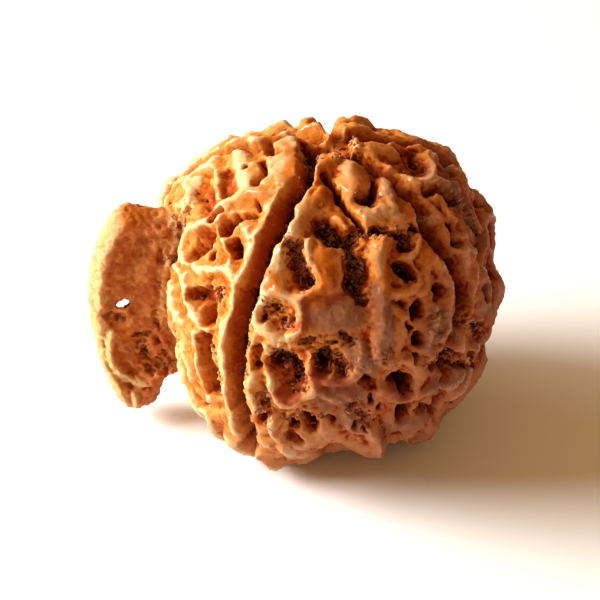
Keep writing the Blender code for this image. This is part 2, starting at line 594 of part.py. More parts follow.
def make_fin(name, collection):
    """The outgrowth: a round-edged plate of its outline, swollen along the rim, bent and pitted."""
    curve = bpy.data.curves.new(name + "_outline", "CURVE")
    curve.dimensions = "2D"
    curve.fill_mode = "BOTH"
    curve.extrude = (FIN_THICKNESS / 2 - FIN_EDGE_ROUND) * MM
    curve.bevel_depth = FIN_EDGE_ROUND * MM
    curve.bevel_resolution = 3
    curve.offset = -FIN_EDGE_ROUND * MM
    spline = curve.splines.new("POLY")
    corners = rounded_line(FIN_OUTLINE + FIN_OUTLINE[:1])[:-1]
    spline.points.add(len(corners) - 1)
    for point, (x, z) in zip(spline.points, corners):
        point.co = (x * MM, z * MM, 0.0, 1.0)
    spline.use_cyclic_u = True
    plate = bpy.data.objects.new(name + "_outline", curve)
    plate.rotation_euler = (math.radians(90), 0.0, 0.0)
    collection.objects.link(plate)
    bpy.context.view_layer.update()
    mesh = evaluated_mesh(plate, name)
    bpy.data.objects.remove(plate)
    shape = bmesh.new()
    shape.from_mesh(mesh)
    bmesh.ops.remove_doubles(shape, verts=shape.verts, dist=1e-6)
    bmesh.ops.recalc_face_normals(shape, faces=shape.faces)
    shape.to_mesh(mesh)
    shape.free()
    fin = bpy.data.objects.new(name, mesh)
    collection.objects.link(fin)
    fuse(fin, FUSE_SIZE, FUSE_SMOOTHING)
    places, normals = vertex_places(fin.data), vertex_normals(fin.data)
    flat = places * (1, 0, 1)
    swell = np.zeros(len(places))
    rim_line = np.array([(x, 0.0, z) for x, z in rounded_line(FIN_OUTLINE) if x < FIN_ROOT_X])
    near, distance = line_distance(flat, rim_line, FIN_RIM_INSET + FIN_RIM_HALF_WIDTH)
    swell[near] = FIN_RIM_SWELL * smooth_step(1 - np.abs(distance - FIN_RIM_INSET) / FIN_RIM_HALF_WIDTH)
    front = smooth_step(0.5 - normals[:, 1])
    for half_width, height, pixels in FIN_RELIEF:
        width = half_width * PIXEL * PIT_OVERSIZE
        near, distance = line_distance(flat, on_fin(rounded_line(pixels)), width)
        swell[near] += height * smooth_step(1 - distance / width) * front[near]
    for amount, length, seed in FIN_LUMPS:
        swell += amount * waves(places, length, seed)
    places[:, 1] += np.sign(normals[:, 1]) * np.abs(normals[:, 1]) * swell
    places[:, 1] += FIN_BEND * np.clip(FIN_ROOT_X - places[:, 0], 0.0, None) ** 2
    fin.data.vertices.foreach_set("co", (places * MM).astype(np.float32).ravel())
    return fin


def vertex_places(mesh):
    """The vertices in mm."""
    places = np.empty(len(mesh.vertices) * 3, np.float32)
    mesh.vertices.foreach_get("co", places)
    return places.reshape(-1, 3).astype(float) / MM


def vertex_normals(mesh):
    normals = np.empty(len(mesh.vertices) * 3, np.float32)
    mesh.vertex_normals.foreach_get("vector", normals)
    return normals.reshape(-1, 3).astype(float)


def fuse(obj, size, smoothing):
    """Remakes a solid on a fine grid, which welds what overlaps, and smooths it a little."""
    grid = obj.modifiers.new("grid", "REMESH")
    grid.mode = "VOXEL"
    grid.voxel_size = size * MM
    soften = obj.modifiers.new("soften", "SMOOTH")
    soften.iterations = smoothing
    soften.factor = 0.5
    apply_modifiers(obj)


def apply_modifiers(obj):
    bpy.context.view_layer.update()
    old = obj.data
    graph = bpy.context.evaluated_depsgraph_get()
    obj.data = bpy.data.meshes.new_from_object(obj.evaluated_get(graph))
    obj.modifiers.clear()
    bpy.data.meshes.remove(old)


def cut(obj, cutter, name):
    """Takes the cutter out of the object with a Boolean that stays on it."""
    boolean = obj.modifiers.new(name, "BOOLEAN")
    boolean.operation = "DIFFERENCE"
    boolean.solver = "EXACT"
    boolean.object = cutter


def hidden_cutter(name, mesh, collection):
    cutter = bpy.data.objects.new(name, mesh)
    cutter.hide_render = True
    cutter.display_type = "WIRE"
    collection.objects.link(cutter)
    return cutter


def floor_cutter(collection):
    """A block whose top is the level of the flat spot."""
    mesh = bpy.data.meshes.new("flat_spot_cutter")
    shape = bmesh.new()
    bmesh.ops.create_cube(shape, size=FLOOR_BLOCK * MM)
    bmesh.ops.translate(shape, verts=shape.verts, vec=(0.0, 0.0, -FLOOR_BLOCK / 2 * MM))
    shape.to_mesh(mesh)
    shape.free()
    return hidden_cutter("flat_spot_cutter", mesh, collection)


def hole_cutter(collection):
    """A slanted oval peg through the outgrowth."""
    mesh = bpy.data.meshes.new("hole_cutter")
    shape = bmesh.new()
    bmesh.ops.create_cone(shape, cap_ends=True, segments=14, radius1=MM, radius2=MM, depth=HOLE_PEG * MM)
    shape.to_mesh(mesh)
    shape.free()
    cutter = hidden_cutter("hole_cutter", mesh, collection)
    x, z = HOLE_SPOT
    cutter.location = (x * MM, 0.0, (z + CENTRE_HEIGHT) * MM)
    cutter.rotation_euler = (math.radians(90 - HOLE_SLANT), -math.radians(HOLE_TILT), 0.0)
    cutter.scale = (HOLE_HALF_SIZE[0], HOLE_HALF_SIZE[1], 1.0)
    return cutter


def stone_material():
    material = bpy.data.materials.new("seed_stone")
    material.use_nodes = True
    shader = material.node_tree.nodes["Principled BSDF"]
    shader.inputs["Base Color"].default_value = (0.33, 0.085, 0.02, 1.0)
    shader.inputs["Roughness"].default_value = 0.42
    shader.inputs["Metallic"].default_value = 0.0
    return material


def build():
    for obj in list(bpy.data.objects):
        bpy.data.objects.remove(obj)
    scene = bpy.context.scene.collection
    parts = bpy.data.collections.new("rudraksha")
    cutters = bpy.data.collections.new("rudraksha_cutters")
    scene.children.link(parts)
    scene.children.link(cutters)

    bead = make_bead("rudraksha_bead")
    parts.objects.link(bead)
    fin = make_fin("outgrowth", parts)
    joined = bmesh.new()
    joined.from_mesh(bead.data)
    joined.from_mesh(fin.data)
    joined.to_mesh(bead.data)
    joined.free()
    bpy.data.objects.remove(fin)
    fuse(bead, FUSE_SIZE, FUSE_SMOOTHING)
    bead.data.transform(Matrix.Translation((0.0, 0.0, CENTRE_HEIGHT * MM)))
    bead.data.calc_loop_triangles()
    thin = bead.modifiers.new("fewer_faces", "DECIMATE")
    thin.ratio = TRIANGLES / len(bead.data.loop_triangles)
    thin.use_collapse_triangulate = True
    apply_modifiers(bead)
    cut(bead, floor_cutter(cutters), "flat_spot")
    cut(bead, hole_cutter(cutters), "through_hole")
    bead.data.materials.append(stone_material())
    bead.data.shade_smooth()


build()
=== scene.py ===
"""Looks of the rudraksha bead: its ridged stone with the outgrowth, and the dry flesh left in its pits."""

import math

import bmesh
import bpy
import numpy as np
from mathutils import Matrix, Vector


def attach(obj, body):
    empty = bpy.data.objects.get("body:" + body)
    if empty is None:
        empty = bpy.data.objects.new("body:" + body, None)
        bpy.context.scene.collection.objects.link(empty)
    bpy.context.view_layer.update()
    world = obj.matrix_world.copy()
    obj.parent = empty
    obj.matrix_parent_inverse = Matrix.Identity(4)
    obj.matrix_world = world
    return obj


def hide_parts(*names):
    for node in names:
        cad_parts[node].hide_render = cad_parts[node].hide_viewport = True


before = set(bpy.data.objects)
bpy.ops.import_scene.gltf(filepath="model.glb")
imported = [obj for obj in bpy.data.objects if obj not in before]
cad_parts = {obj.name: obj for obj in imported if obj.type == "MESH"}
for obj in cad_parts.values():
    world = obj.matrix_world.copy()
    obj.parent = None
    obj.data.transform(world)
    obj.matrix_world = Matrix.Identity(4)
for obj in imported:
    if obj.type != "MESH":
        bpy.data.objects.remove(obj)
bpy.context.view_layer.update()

# The round body of the stone, grown in one piece with the outgrowth: smooth ridges round hollows and pits,
# and five grooves from pole to pole. It is shaped here in millimetres from its own middle, finer than the
# solid that it stands for.
MM = 0.001

# The bead, in mm. Its mean surface lies between the hollows and the crests of the ridges, and swells towards
# the outline that the photograph shows.
MEAN_RADIUS = 9.45
MEAN_HALF_HEIGHT = 9.80
CENTRE_HEIGHT = 9.52
FLAT_FADE = (2.6, 5.0)
CREST_LEVEL = 0.35
SWELL_REACH = 0.5

# The five grooves that run from pole to pole. The three at the back lie at these longitudes, in degrees from
# -Y towards +X, each as a line of points from one latitude to another. The two at the front follow the
# photograph, and are carried on to the lower pole in steps.
BACK_GROOVES = (115.0, 187.0, 256.0)
GROOVE_LATITUDES = (84, -86, 18)
GROOVE_HALF_WIDTH = 0.66
GROOVE_WALL = 0.56
GROOVE_DEPTH = 1.35
RIM_OFFSET = 1.1
RIM_HALF_WIDTH = 0.75
RIM_HEIGHT = 0.60
GROOVE_WANDER = 3.0
STEPS_TO_POLE = (0.25, 0.5, 0.75, 0.95)

# The raised net on the sides that the photograph does not show.
NET_CELLS = 215
NET_SEED = 11
NET_RIDGE_WIDTH = 1.5
NET_HEIGHT = 0.72
NET_DEPTH = 1.05
NET_JITTER = 0.05
NET_WARPS = ((0.50, 4.2, 1), (0.25, 1.9, 4))
NET_FLOOR_SHARES = (0.35, 1.0)
NET_CREST_SHARE = 0.45
NET_CREST_LENGTH = 3.5
NET_CREST_CONTRAST = 0.8
NET_ROUNDNESS = 1.2
NET_PIT_DEPTH = 0.75
NET_PIT_RADIUS = 0.8
NET_PIT_SHARE = 0.6
NET_PIT_STEEPNESS = 1.8
NET_LUMPS = 0.22
NET_LUMP_LENGTH = 3.2
NET_PORTION = 20000
FRONT_NET_SHARE = 0.3
HOLLOW_LEVEL = -0.02

# The photograph's view of the bead: its elevation, the camera's distance in mm, mm to a pixel at the bead's
# middle, and the pixel of that middle.
VIEW_ELEVATION = 34.0
VIEW_DISTANCE = 84.0
PIXEL = 0.0593
CENTRE_PIXEL = (333.0, 288.0)

# The bead's outline in the photograph, as pixels, clockwise from the outgrowth's upper root.
OUTLINE = (
    (160, 200), (167, 184), (180, 176), (192, 166), (205, 153), (218, 142), (230, 136), (242, 139),
    (250, 133), (260, 135), (272, 131), (286, 128), (296, 130), (304, 120), (320, 119), (326, 127),
    (337, 121), (355, 120), (366, 124), (374, 130), (397, 133), (415, 138), (430, 147), (444, 151),
    (455, 160), (464, 172), (474, 187), (484, 204), (493, 218), (496, 243), (493, 258), (489, 267),
    (500, 285), (503, 298), (500, 320), (492, 338), (486, 347), (488, 360), (476, 382), (463, 400),
    (445, 412), (427, 435), (412, 439), (398, 435), (384, 436), (381, 456), (370, 459), (357, 454),
    (342, 446), (326, 448), (312, 458), (300, 462), (286, 465), (274, 468), (257, 460), (240, 449),
    (226, 436), (210, 425), (203, 409), (190, 397), (182, 380), (176, 340), (165, 315), (163, 290),
    (168, 262), (177, 240), (166, 222),
)

# The two grooves that the photograph shows, as pixels from the upper pole down.
MAIN_GROOVE = (
    (322, 151), (308, 152), (306, 168), (302, 183), (295, 194), (288, 204), (282, 217), (276, 231),
    (270, 244), (263, 257), (257, 270), (251, 285), (246, 300), (241, 315), (238, 330), (237, 345),
    (236, 360), (236, 375), (236, 390), (239, 405), (242, 420), (245, 435), (249, 447),
)
RIGHT_GROOVE = (
    (352, 160), (375, 172), (388, 181), (398, 190), (410, 205), (420, 222), (437, 250), (450, 270),
    (458, 290), (459, 305), (456, 320), (452, 335), (448, 350), (446, 372), (438, 395), (428, 420),
)

# Two lines of that side that serve twice: the ridge round one hollow, and the main groove's right lip.
HOLLOW_RING = (
    (260, 298), (252, 309), (252, 323), (262, 336), (278, 343), (291, 335), (298, 318), (294, 303),
    (277, 297), (260, 298),
)
GROOVE_LIP = (
    (298, 197), (290, 210), (284, 222), (277, 238), (270, 255), (263, 272), (260, 288), (252, 306),
)

# Ridges and lobes of the side in the photograph: half width in pixels, height in mm, and pixels of the line.
RIDGES = (
    # The smooth rims of the main groove.
    (9, 0.62, ((290, 140), (300, 150), (300, 162), (295, 173), (287, 187), (276, 201), (266, 215),
               (258, 230), (252, 250), (244, 270), (236, 290), (229, 308))),
    (8, 0.62, ((229, 308), (223, 325), (221, 345), (222, 362), (223, 380), (225, 400), (227, 420),
               (233, 438))),
    (16, 0.52, ((280, 142), (284, 158), (276, 178))),
    (5, 0.48, GROOVE_LIP),
    (5, 0.45, ((252, 335), (249, 350), (249, 365), (247, 380), (245, 392), (250, 404), (254, 418),
               (257, 434))),
    # The upper left panel, up to the outline.
    (6, 0.50, ((180, 178), (192, 167), (203, 158), (210, 149), (222, 141), (235, 139))),
    (7, 0.48, ((244, 138), (256, 138), (268, 139), (280, 135), (291, 137))),
    (5, 0.48, ((188, 172), (182, 187), (178, 203))),
    (4, 0.30, ((209, 160), (214, 178), (216, 198))),
    (9, 0.42, ((236, 146), (237, 168), (240, 190))),
    (6, 0.58, ((190, 230), (205, 215), (220, 203), (235, 196), (250, 193), (268, 192), (280, 188))),
    # The net between the outgrowth and the main groove.
    (5, 0.50, ((243, 232), (244, 255), (241, 274))),
    (4, 0.50, ((214, 226), (219, 240), (222, 255), (220, 270))),
    (5, 0.56, ((181, 259), (190, 269), (203, 271), (215, 269), (222, 272))),
    (5, 0.50, ((186, 226), (178, 240), (176, 252), (181, 262))),
    (5, 0.50, ((222, 272), (231, 286), (231, 300), (228, 315), (218, 330))),
    (5, 0.50, ((172, 268), (178, 285), (181, 300), (187, 318), (197, 332))),
    (5, 0.45, ((165, 285), (168, 305), (174, 322))),
    (5, 0.45, ((190, 336), (193, 360), (199, 385), (207, 404))),
    (6, 0.40, ((178, 345), (181, 362), (186, 380))),
    # The knot of lobes round the upper pole.
    (10, 0.62, ((305, 128), (315, 127))),
    (9, 0.36, ((344, 129), (355, 128), (366, 132))),
    (8, 0.55, ((366, 146), (388, 146))),
    (5, 0.50, ((352, 139), (356, 156))),
    (5, 0.45, ((392, 138), (408, 140), (420, 146))),
    # The panel between the two grooves.
    (6, 0.56, ((328, 158), (319, 166), (308, 178), (303, 191), (300, 203))),
    (5, 0.50, ((318, 190), (312, 197), (306, 206))),
    (8, 0.56, ((299, 206), (291, 217), (287, 229), (283, 242), (272, 262))),
    (4, 0.35, ((332, 222), (340, 233), (341, 247))),
    (12, 0.56, ((349, 168), (350, 180), (354, 190))),
    (7, 0.66, ((382, 184), (386, 195), (390, 205))),
    (11, 0.66, ((362, 216), (384, 214), (408, 215))),
    (4, 0.60, ((303, 243), (306, 258), (311, 271), (315, 284), (312, 293), (300, 297), (292, 302))),
    (5.5, 0.56, HOLLOW_RING),
    (8, 0.52, ((277, 250), (271, 265), (268, 282), (273, 293))),
    (12, 0.58, ((321, 257), (323, 270), (322, 283))),
    (14, 0.36, ((310, 316), (338, 316))),
    (8, 0.68, ((387, 232), (381, 244), (377, 256), (378, 272), (381, 290), (382, 310), (382, 330),
               (380, 348), (378, 360))),
    (5, 0.55, ((416, 236), (412, 250), (406, 259), (409, 269), (415, 279), (411, 290), (400, 294),
               (386, 293))),
    (5, 0.45, ((424, 252), (426, 268), (424, 284), (420, 296))),
    (4.5, 0.50, ((430, 260), (440, 270), (446, 283), (449, 297), (447, 311), (446, 325), (440, 340))),
    (4, 0.45, ((386, 308), (398, 314), (404, 324), (402, 340), (396, 352), (392, 364))),
    (9, 0.40, ((434, 310), (431, 328), (426, 346))),
    (9, 0.38, ((393, 328), (391, 350))),
    # Right of the right groove.
    (6, 0.62, ((357, 155), (375, 162), (392, 172), (403, 185), (415, 200), (428, 215), (440, 228))),
    (9, 0.55, ((420, 208), (434, 222))),
    (8, 0.52, ((452, 236), (459, 250), (464, 266))),
    (4, 0.62, ((461, 247), (470, 256), (474, 268), (473, 282), (473, 298), (472, 318))),
    (5, 0.58, ((430, 150), (431, 163), (428, 177))),
    (6, 0.60, ((405, 178), (420, 182), (432, 179), (445, 181), (455, 185))),
    (4, 0.66, ((456, 183), (460, 192), (463, 202), (470, 212), (479, 217))),
    (3.5, 0.62, ((434, 196), (442, 205), (448, 215), (455, 220))),
    (3.5, 0.58, ((460, 236), (468, 241), (474, 250), (472, 260))),
    (5, 0.50, ((452, 158), (460, 170), (468, 184))),
    (4, 0.62, ((478, 217), (484, 228), (487, 240), (486, 250), (482, 262))),
    (9, 0.62, ((484, 276), (489, 290), (488, 305))),
    (5, 0.48, ((460, 330), (462, 345), (460, 358))),
    (5, 0.45, ((484, 322), (484, 340), (478, 352))),
    # The lower front.
    (4.5, 0.52, ((262, 352), (266, 370), (266, 388), (272, 400), (282, 407), (296, 405), (306, 398),
                 (311, 387), (305, 374), (307, 360))),
    (5, 0.45, ((296, 348), (282, 346), (266, 345))),
    (5, 0.52, ((265, 425), (270, 437), (278, 450), (290, 459), (305, 460))),
    (12, 0.46, ((300, 447), (318, 440))),
    (7, 0.46, ((255, 442), (262, 455))),
    (6, 0.46, ((276, 458), (284, 462))),
    (5, 0.46, ((318, 376), (330, 384), (344, 384), (356, 372))),
    (5, 0.44, ((316, 396), (330, 402), (346, 400))),
    (4, 0.40, ((340, 410), (344, 424), (356, 434), (368, 432))),
    (6, 0.60, ((374, 440), (378, 449), (380, 456))),
    (5, 0.46, ((356, 352), (364, 362), (366, 372))),
    (6, 0.50, ((384, 364), (398, 362), (410, 366), (418, 374), (419, 386), (414, 398))),
    (5, 0.50, ((380, 395), (392, 402), (406, 402), (420, 399), (440, 392))),
    (3, 0.34, ((440, 405), (453, 390), (466, 376))),
    (4, 0.36, ((452, 402), (464, 388), (474, 372))),
    (9, 0.42, ((393, 429), (420, 428))),
)

# Pits of the same side: half width in pixels, depth in mm, and pixels of the line along the pit.
PITS = (
    (11, 0.18, ((203, 192), (206, 208))),
    (3, 0.40, ((200, 196), (203, 208))),
    (3, 0.40, ((210, 190), (212, 203))),
    (6, 0.30, ((226, 176), (228, 193))),
    (3, 0.50, ((245, 172), (245, 173))),
    (4.5, 0.45, ((264, 168), (264, 177), (255, 189))),
    (5, 0.40, ((270, 153), (273, 160))),
    (3, 0.30, ((211, 222), (223, 213))),
    (7.5, 0.75, ((226, 230), (235, 224))),
    (3, 0.40, ((243, 220), (250, 219))),
    (3.5, 0.50, ((256, 208), (257, 212))),
    (9, 0.60, ((206, 238), (193, 257))),
    (5, 0.75, ((207, 238), (208, 240))),
    (4, 0.60, ((210, 254), (209, 259))),
    (7.5, 0.95, ((233, 249), (233, 252))),
    (8, 0.80, ((194, 297), (201, 297), (206, 307), (206, 320))),
    (4, 1.35, ((205, 289), (206, 299))),
    (3, 0.70, ((215, 293), (215, 299))),
    (2, 0.50, ((172, 291), (172, 303))),
    (2.5, 0.60, ((182, 328), (190, 342))),
    (8, 1.15, ((203, 340), (207, 365), (212, 390))),
    (4.5, 1.45, ((209, 366), (211, 376))),
    (2.5, 0.50, ((200, 410), (215, 412))),
    (3.5, 0.95, ((303, 150), (318, 152), (330, 153))),
    (9, 0.25, ((338, 142), (342, 154))),
    (4, 0.80, ((322, 180), (335, 200), (345, 215), (358, 231))),
    (11, 1.35, ((317, 229), (330, 240))),
    (5, 1.15, ((357, 202), (368, 202))),
    (3, 1.00, ((368, 184), (370, 196), (368, 203))),
    (5, 1.15, ((371, 234), (383, 238), (395, 237))),
    (3, 0.90, ((403, 230), (413, 234))),
    (9, 0.90, ((290, 250), (294, 266), (299, 280))),
    (5, 1.35, ((299, 281), (303, 285))),
    (10, 0.05, ((268, 312), (278, 321))),
    (3, 0.45, ((267, 308), (273, 309))),
    (2.5, 0.40, ((262, 317), (264, 321))),
    (2.5, 0.35, ((277, 322), (279, 325))),
    (8, 1.30, ((346, 238), (347, 252))),
    (11, 1.55, ((353, 264), (350, 284))),
    (7, 1.25, ((351, 292), (357, 300))),
    (3, 0.70, ((337, 262), (341, 274))),
    (8, 1.20, ((398, 269), (403, 275))),
    (6.5, 1.05, ((400, 239), (402, 247))),
    (6, 1.25, ((413, 310), (411, 316))),
    (3, 0.50, ((401, 322), (404, 327))),
    (4.5, 1.00, ((414, 337), (415, 342))),
    (3, 0.75, ((399, 303), (400, 304))),
    (3, 0.75, ((405, 329), (406, 330))),
    (3, 0.60, ((410, 353), (409, 359))),
    (3, 0.45, ((299, 341), (311, 339))),
    (2.5, 0.40, ((321, 343), (333, 346))),
    (3.5, 0.55, ((340, 336), (346, 341))),
    (10, 0.22, ((407, 157), (416, 170))),
    (4, 0.75, ((410, 158), (414, 164))),
    (8, 0.85, ((443, 159), (447, 172))),
    (7, 0.85, ((470, 186), (477, 204))),
    (6, 1.00, ((421, 192), (433, 195), (452, 204))),
    (4, 1.25, ((434, 198), (438, 199))),
    (7, 0.60, ((461, 214), (474, 232))),
    (4, 0.95, ((470, 221), (475, 229))),
    (5, 0.85, ((463, 243), (470, 250))),
    (5, 0.85, ((444, 228), (449, 245))),
    (3, 1.00, ((476, 286), (477, 301))),
    (8, 0.60, ((472, 322), (480, 336))),
    (3.5, 1.05, ((470, 324), (471, 327))),
    (3, 1.00, ((482, 327), (483, 329))),
    (3, 0.95, ((472, 339), (473, 341))),
    (5, 0.80, ((432, 289), (433, 297))),
    (14, 0.75, ((277, 362), (291, 378))),
    (7, 1.45, ((274, 360), (275, 365))),
    (8, 1.60, ((290, 369), (294, 380))),
    (8, 1.45, ((318, 357), (320, 366))),
    (8, 0.45, ((334, 362), (338, 368))),
    (3.5, 0.85, ((334, 367), (338, 371))),
    (5, 0.30, ((255, 350), (256, 368))),
    (5, 0.55, ((259, 397), (262, 403))),
    (7, 0.80, ((260, 416), (260, 419))),
    (6, 1.45, ((290, 425), (292, 429))),
    (7.5, 1.50, ((305, 419), (309, 425))),
    (7, 0.30, ((288, 437), (298, 438))),
    (4, 0.55, ((323, 414), (328, 421))),
    (7, 0.30, ((361, 380), (369, 386))),
    (3, 0.80, ((362, 381), (366, 383))),
    (3, 0.90, ((367, 396), (368, 401))),
    (3, 0.60, ((375, 406), (376, 409))),
    (6, 0.25, ((360, 412), (361, 420))),
    (2.5, 0.70, ((354, 411), (358, 409))),
    (2.5, 0.60, ((353, 421), (354, 424))),
    (2.5, 0.60, ((362, 426), (364, 428))),
    (8.5, 1.50, ((393, 380), (398, 386))),
    (3, 0.80, ((405, 378), (406, 388))),
    (7, 1.40, ((403, 408), (401, 415))),
    (6, 0.80, ((416, 411), (424, 409))),
    (3, 0.70, ((434, 412), (436, 422))),
    (5, 1.10, ((450, 356), (455, 357))),
    (4.5, 1.00, ((469, 356), (471, 357))),
    (4, 0.85, ((437, 354), (437, 357))),
    (4, 0.75, ((453, 366), (474, 367))),
    (6, 0.70, ((430, 366), (437, 370))),
    (4, 0.80, ((452, 330), (450, 345))),
)

# How these lines are laid on the body: their widening, their blends, the slight waver of their course, their
# level over the mean surface, and how they fade out along the outline.
PIT_WALL = 0.6
PIT_OVERSIZE = 1.15
RIDGE_OVERSIZE = 1.75
RIDGE_ROUNDNESS = 1.5
RIDGE_BLEND = 0.10
RIM_BLEND = 0.15
LINE_WARPS = ((0.09, 1.7, 30), (0.05, 0.7, 40))
PIT_LEVEL = 0.0
GROOVE_LEVEL = 0.0
VIEW_DEPTH_SHARE = 0.5
SEEN_FROM = 0.05
SEEN_FADE = 0.22
SIGHT_ROUNDS = 8

# Low swellings and small lumps over the whole bead: height in mm, length in mm, and seed. The lengths spread
# about these by WAVE_SPREAD, and BODY_DIVISIONS says how fine the body's first mesh is.
LUMPS = ((0.10, 7.0, 3), (0.05, 1.6, 4), (0.03, 0.8, 5))
WAVE_SPREAD = (0.6, 1.3)
BODY_DIVISIONS = 8


def view_axes():
    """The photograph's right, up and ahead, as rows."""
    tilt = math.radians(VIEW_ELEVATION)
    return np.array((
        (1.0, 0.0, 0.0),
        (0.0, math.sin(tilt), math.cos(tilt)),
        (0.0, math.cos(tilt), -math.sin(tilt)),
    ))


def view_rays(pixels):
    """The camera's place and the direction to each pixel, in mm from the bead's middle."""
    right, up, ahead = view_axes()
    offsets = (np.asarray(pixels, float) - CENTRE_PIXEL) * PIXEL
    eye = -VIEW_DISTANCE * ahead
    return eye, offsets[:, :1] * right - offsets[:, 1:] * up - eye


def off_flat(points):
    """0 over the flat spot under the bead, and 1 away from it."""
    start, end = FLAT_FADE
    away = smooth_step((np.hypot(points[:, 0], points[:, 1]) - start) / (end - start))
    return np.where(points[:, 2] < 0, away, 1.0)


def swelling(units):
    """How far the mean surface stands out from its ellipsoid in these directions, to meet the outline."""
    right, up, ahead = view_axes()
    across, upward = units @ right, units @ up
    outline = (np.array(OUTLINE) - CENTRE_PIXEL) * PIXEL
    turns = np.arctan2(-outline[:, 1], outline[:, 0])
    order = np.argsort(turns)
    wide = math.hypot(MEAN_RADIUS * math.sin(math.radians(VIEW_ELEVATION)),
                      MEAN_HALF_HEIGHT * math.cos(math.radians(VIEW_ELEVATION)))
    nearness = math.sqrt(1 - (MEAN_RADIUS / VIEW_DISTANCE) ** 2)
    reach = np.hypot(outline[:, 0], outline[:, 1]) * nearness
    plain = 1 / np.hypot(np.cos(turns) / MEAN_RADIUS, np.sin(turns) / wide)
    extra = np.interp(np.arctan2(upward, across), turns[order], (reach - plain)[order] - CREST_LEVEL,
                      period=2 * math.pi)
    return extra * np.exp(-((units @ ahead) / SWELL_REACH) ** 2) * off_flat(units * MEAN_RADIUS)


def mean_surface(units):
    """The points of the mean surface in these directions from the bead's middle."""
    radii = np.array((MEAN_RADIUS, MEAN_RADIUS, MEAN_HALF_HEIGHT))
    plain = 1 / np.linalg.norm(units / radii, axis=1)
    return units * (plain + swelling(units))[:, None]


def unit(vectors):
    """The vectors at length 1."""
    return vectors / np.linalg.norm(vectors, axis=-1, keepdims=True)


def on_bead(pixels, level):
    """The points of the mean surface under what the photograph shows at these pixels, level mm above it."""
    eye, rays = view_rays(pixels)
    a, b = (rays * rays).sum(axis=1), rays @ eye
    radius = np.full(len(rays), MEAN_RADIUS)
    for _ in range(SIGHT_ROUNDS):
        reach = (-b - np.sqrt(np.maximum(b * b - a * (eye @ eye - radius * radius), 0))) / a
        units = unit(eye + rays * reach[:, None])
        radius = np.linalg.norm(mean_surface(units), axis=1) + level
    return mean_surface(units)


def on_fin(pixels):
    """The points of the outgrowth's plane that the photograph shows at these pixels."""
    eye, rays = view_rays(pixels)
    return eye - rays * (eye[1] / rays[:, 1])[:, None]


def rounded_line(points, steps=4):
    """The points with more between them on a smooth curve through them all."""
    points = np.asarray(points, float)
    if len(points) < 3:
        return points
    ends = np.vstack((2 * points[0] - points[1], points, 2 * points[-1] - points[-2]))
    rows = []
    for before, here, after, beyond in zip(ends, ends[1:], ends[2:], ends[3:]):
        for step in range(steps):
            t = step / steps
            rows.append(0.5 * (2 * here + (after - before) * t
                               + (2 * before - 5 * here + 4 * after - beyond) * t * t
                               + (3 * here - before - 3 * after + beyond) * t ** 3))
    rows.append(points[-1])
    return np.array(rows)


def smooth_step(value):
    """0 up to 0 and 1 from 1 on, with a soft start and end between them."""
    value = np.clip(value, 0.0, 1.0)
    return value * value * (3.0 - 2.0 * value)


def soft_max(first, second, blend):
    """The higher of two surfaces, rounded where they cross."""
    overlap = np.maximum(blend - np.abs(first - second), 0.0)
    return np.maximum(first, second) + overlap * overlap / (4.0 * blend)


def line_distance(points, line, reach):
    """Which points lie within reach of a line, and their distances from it."""
    middle = (line.min(axis=0) + line.max(axis=0)) / 2
    span = np.linalg.norm(line - middle, axis=1).max() + reach
    near = np.flatnonzero(((points - middle) ** 2).sum(axis=1) < span * span)
    close = points[near]
    best = np.full(len(near), np.inf)
    for start, end in zip(line, line[1:]):
        along = end - start
        share = np.clip((close - start) @ along / max(along @ along, 1e-9), 0.0, 1.0)
        best = np.minimum(best, ((close - start - share[:, None] * along) ** 2).sum(axis=1))
    return near, np.sqrt(best)


def waves(points, length, seed, count=14):
    """A smooth random field from -1 to 1 or so, whose bumps are about this long."""
    random = np.random.default_rng(seed)
    directions = random.normal(size=(count, 3))
    directions /= np.linalg.norm(directions, axis=1)[:, None]
    turns = 2 * math.pi / length * random.uniform(*WAVE_SPREAD, count)
    phases = random.uniform(0, 2 * math.pi, count)
    return np.sin(points @ (directions * turns[:, None]).T + phases).sum(axis=1) / math.sqrt(count)


def meridian(longitude, seed):
    """A groove's line down the mean surface from pole to pole, with a slight wander."""
    random = np.random.default_rng(seed)
    latitudes = np.radians(np.linspace(*GROOVE_LATITUDES))
    turns = math.radians(longitude) + np.radians(random.normal(0, GROOVE_WANDER, len(latitudes)))
    level = np.cos(latitudes)
    return mean_surface(rounded_line(np.stack(
        (level * np.sin(turns), -level * np.cos(turns), np.sin(latitudes)), axis=1)))


def down_to_pole(line):
    """The same line, carried on over the unseen underside to the lower pole."""
    pole = np.array((0.0, 0.0, -MEAN_HALF_HEIGHT))
    more = np.array([line[-1] + (pole - line[-1]) * share for share in STEPS_TO_POLE])
    return np.vstack((line, mean_surface(unit(more))))


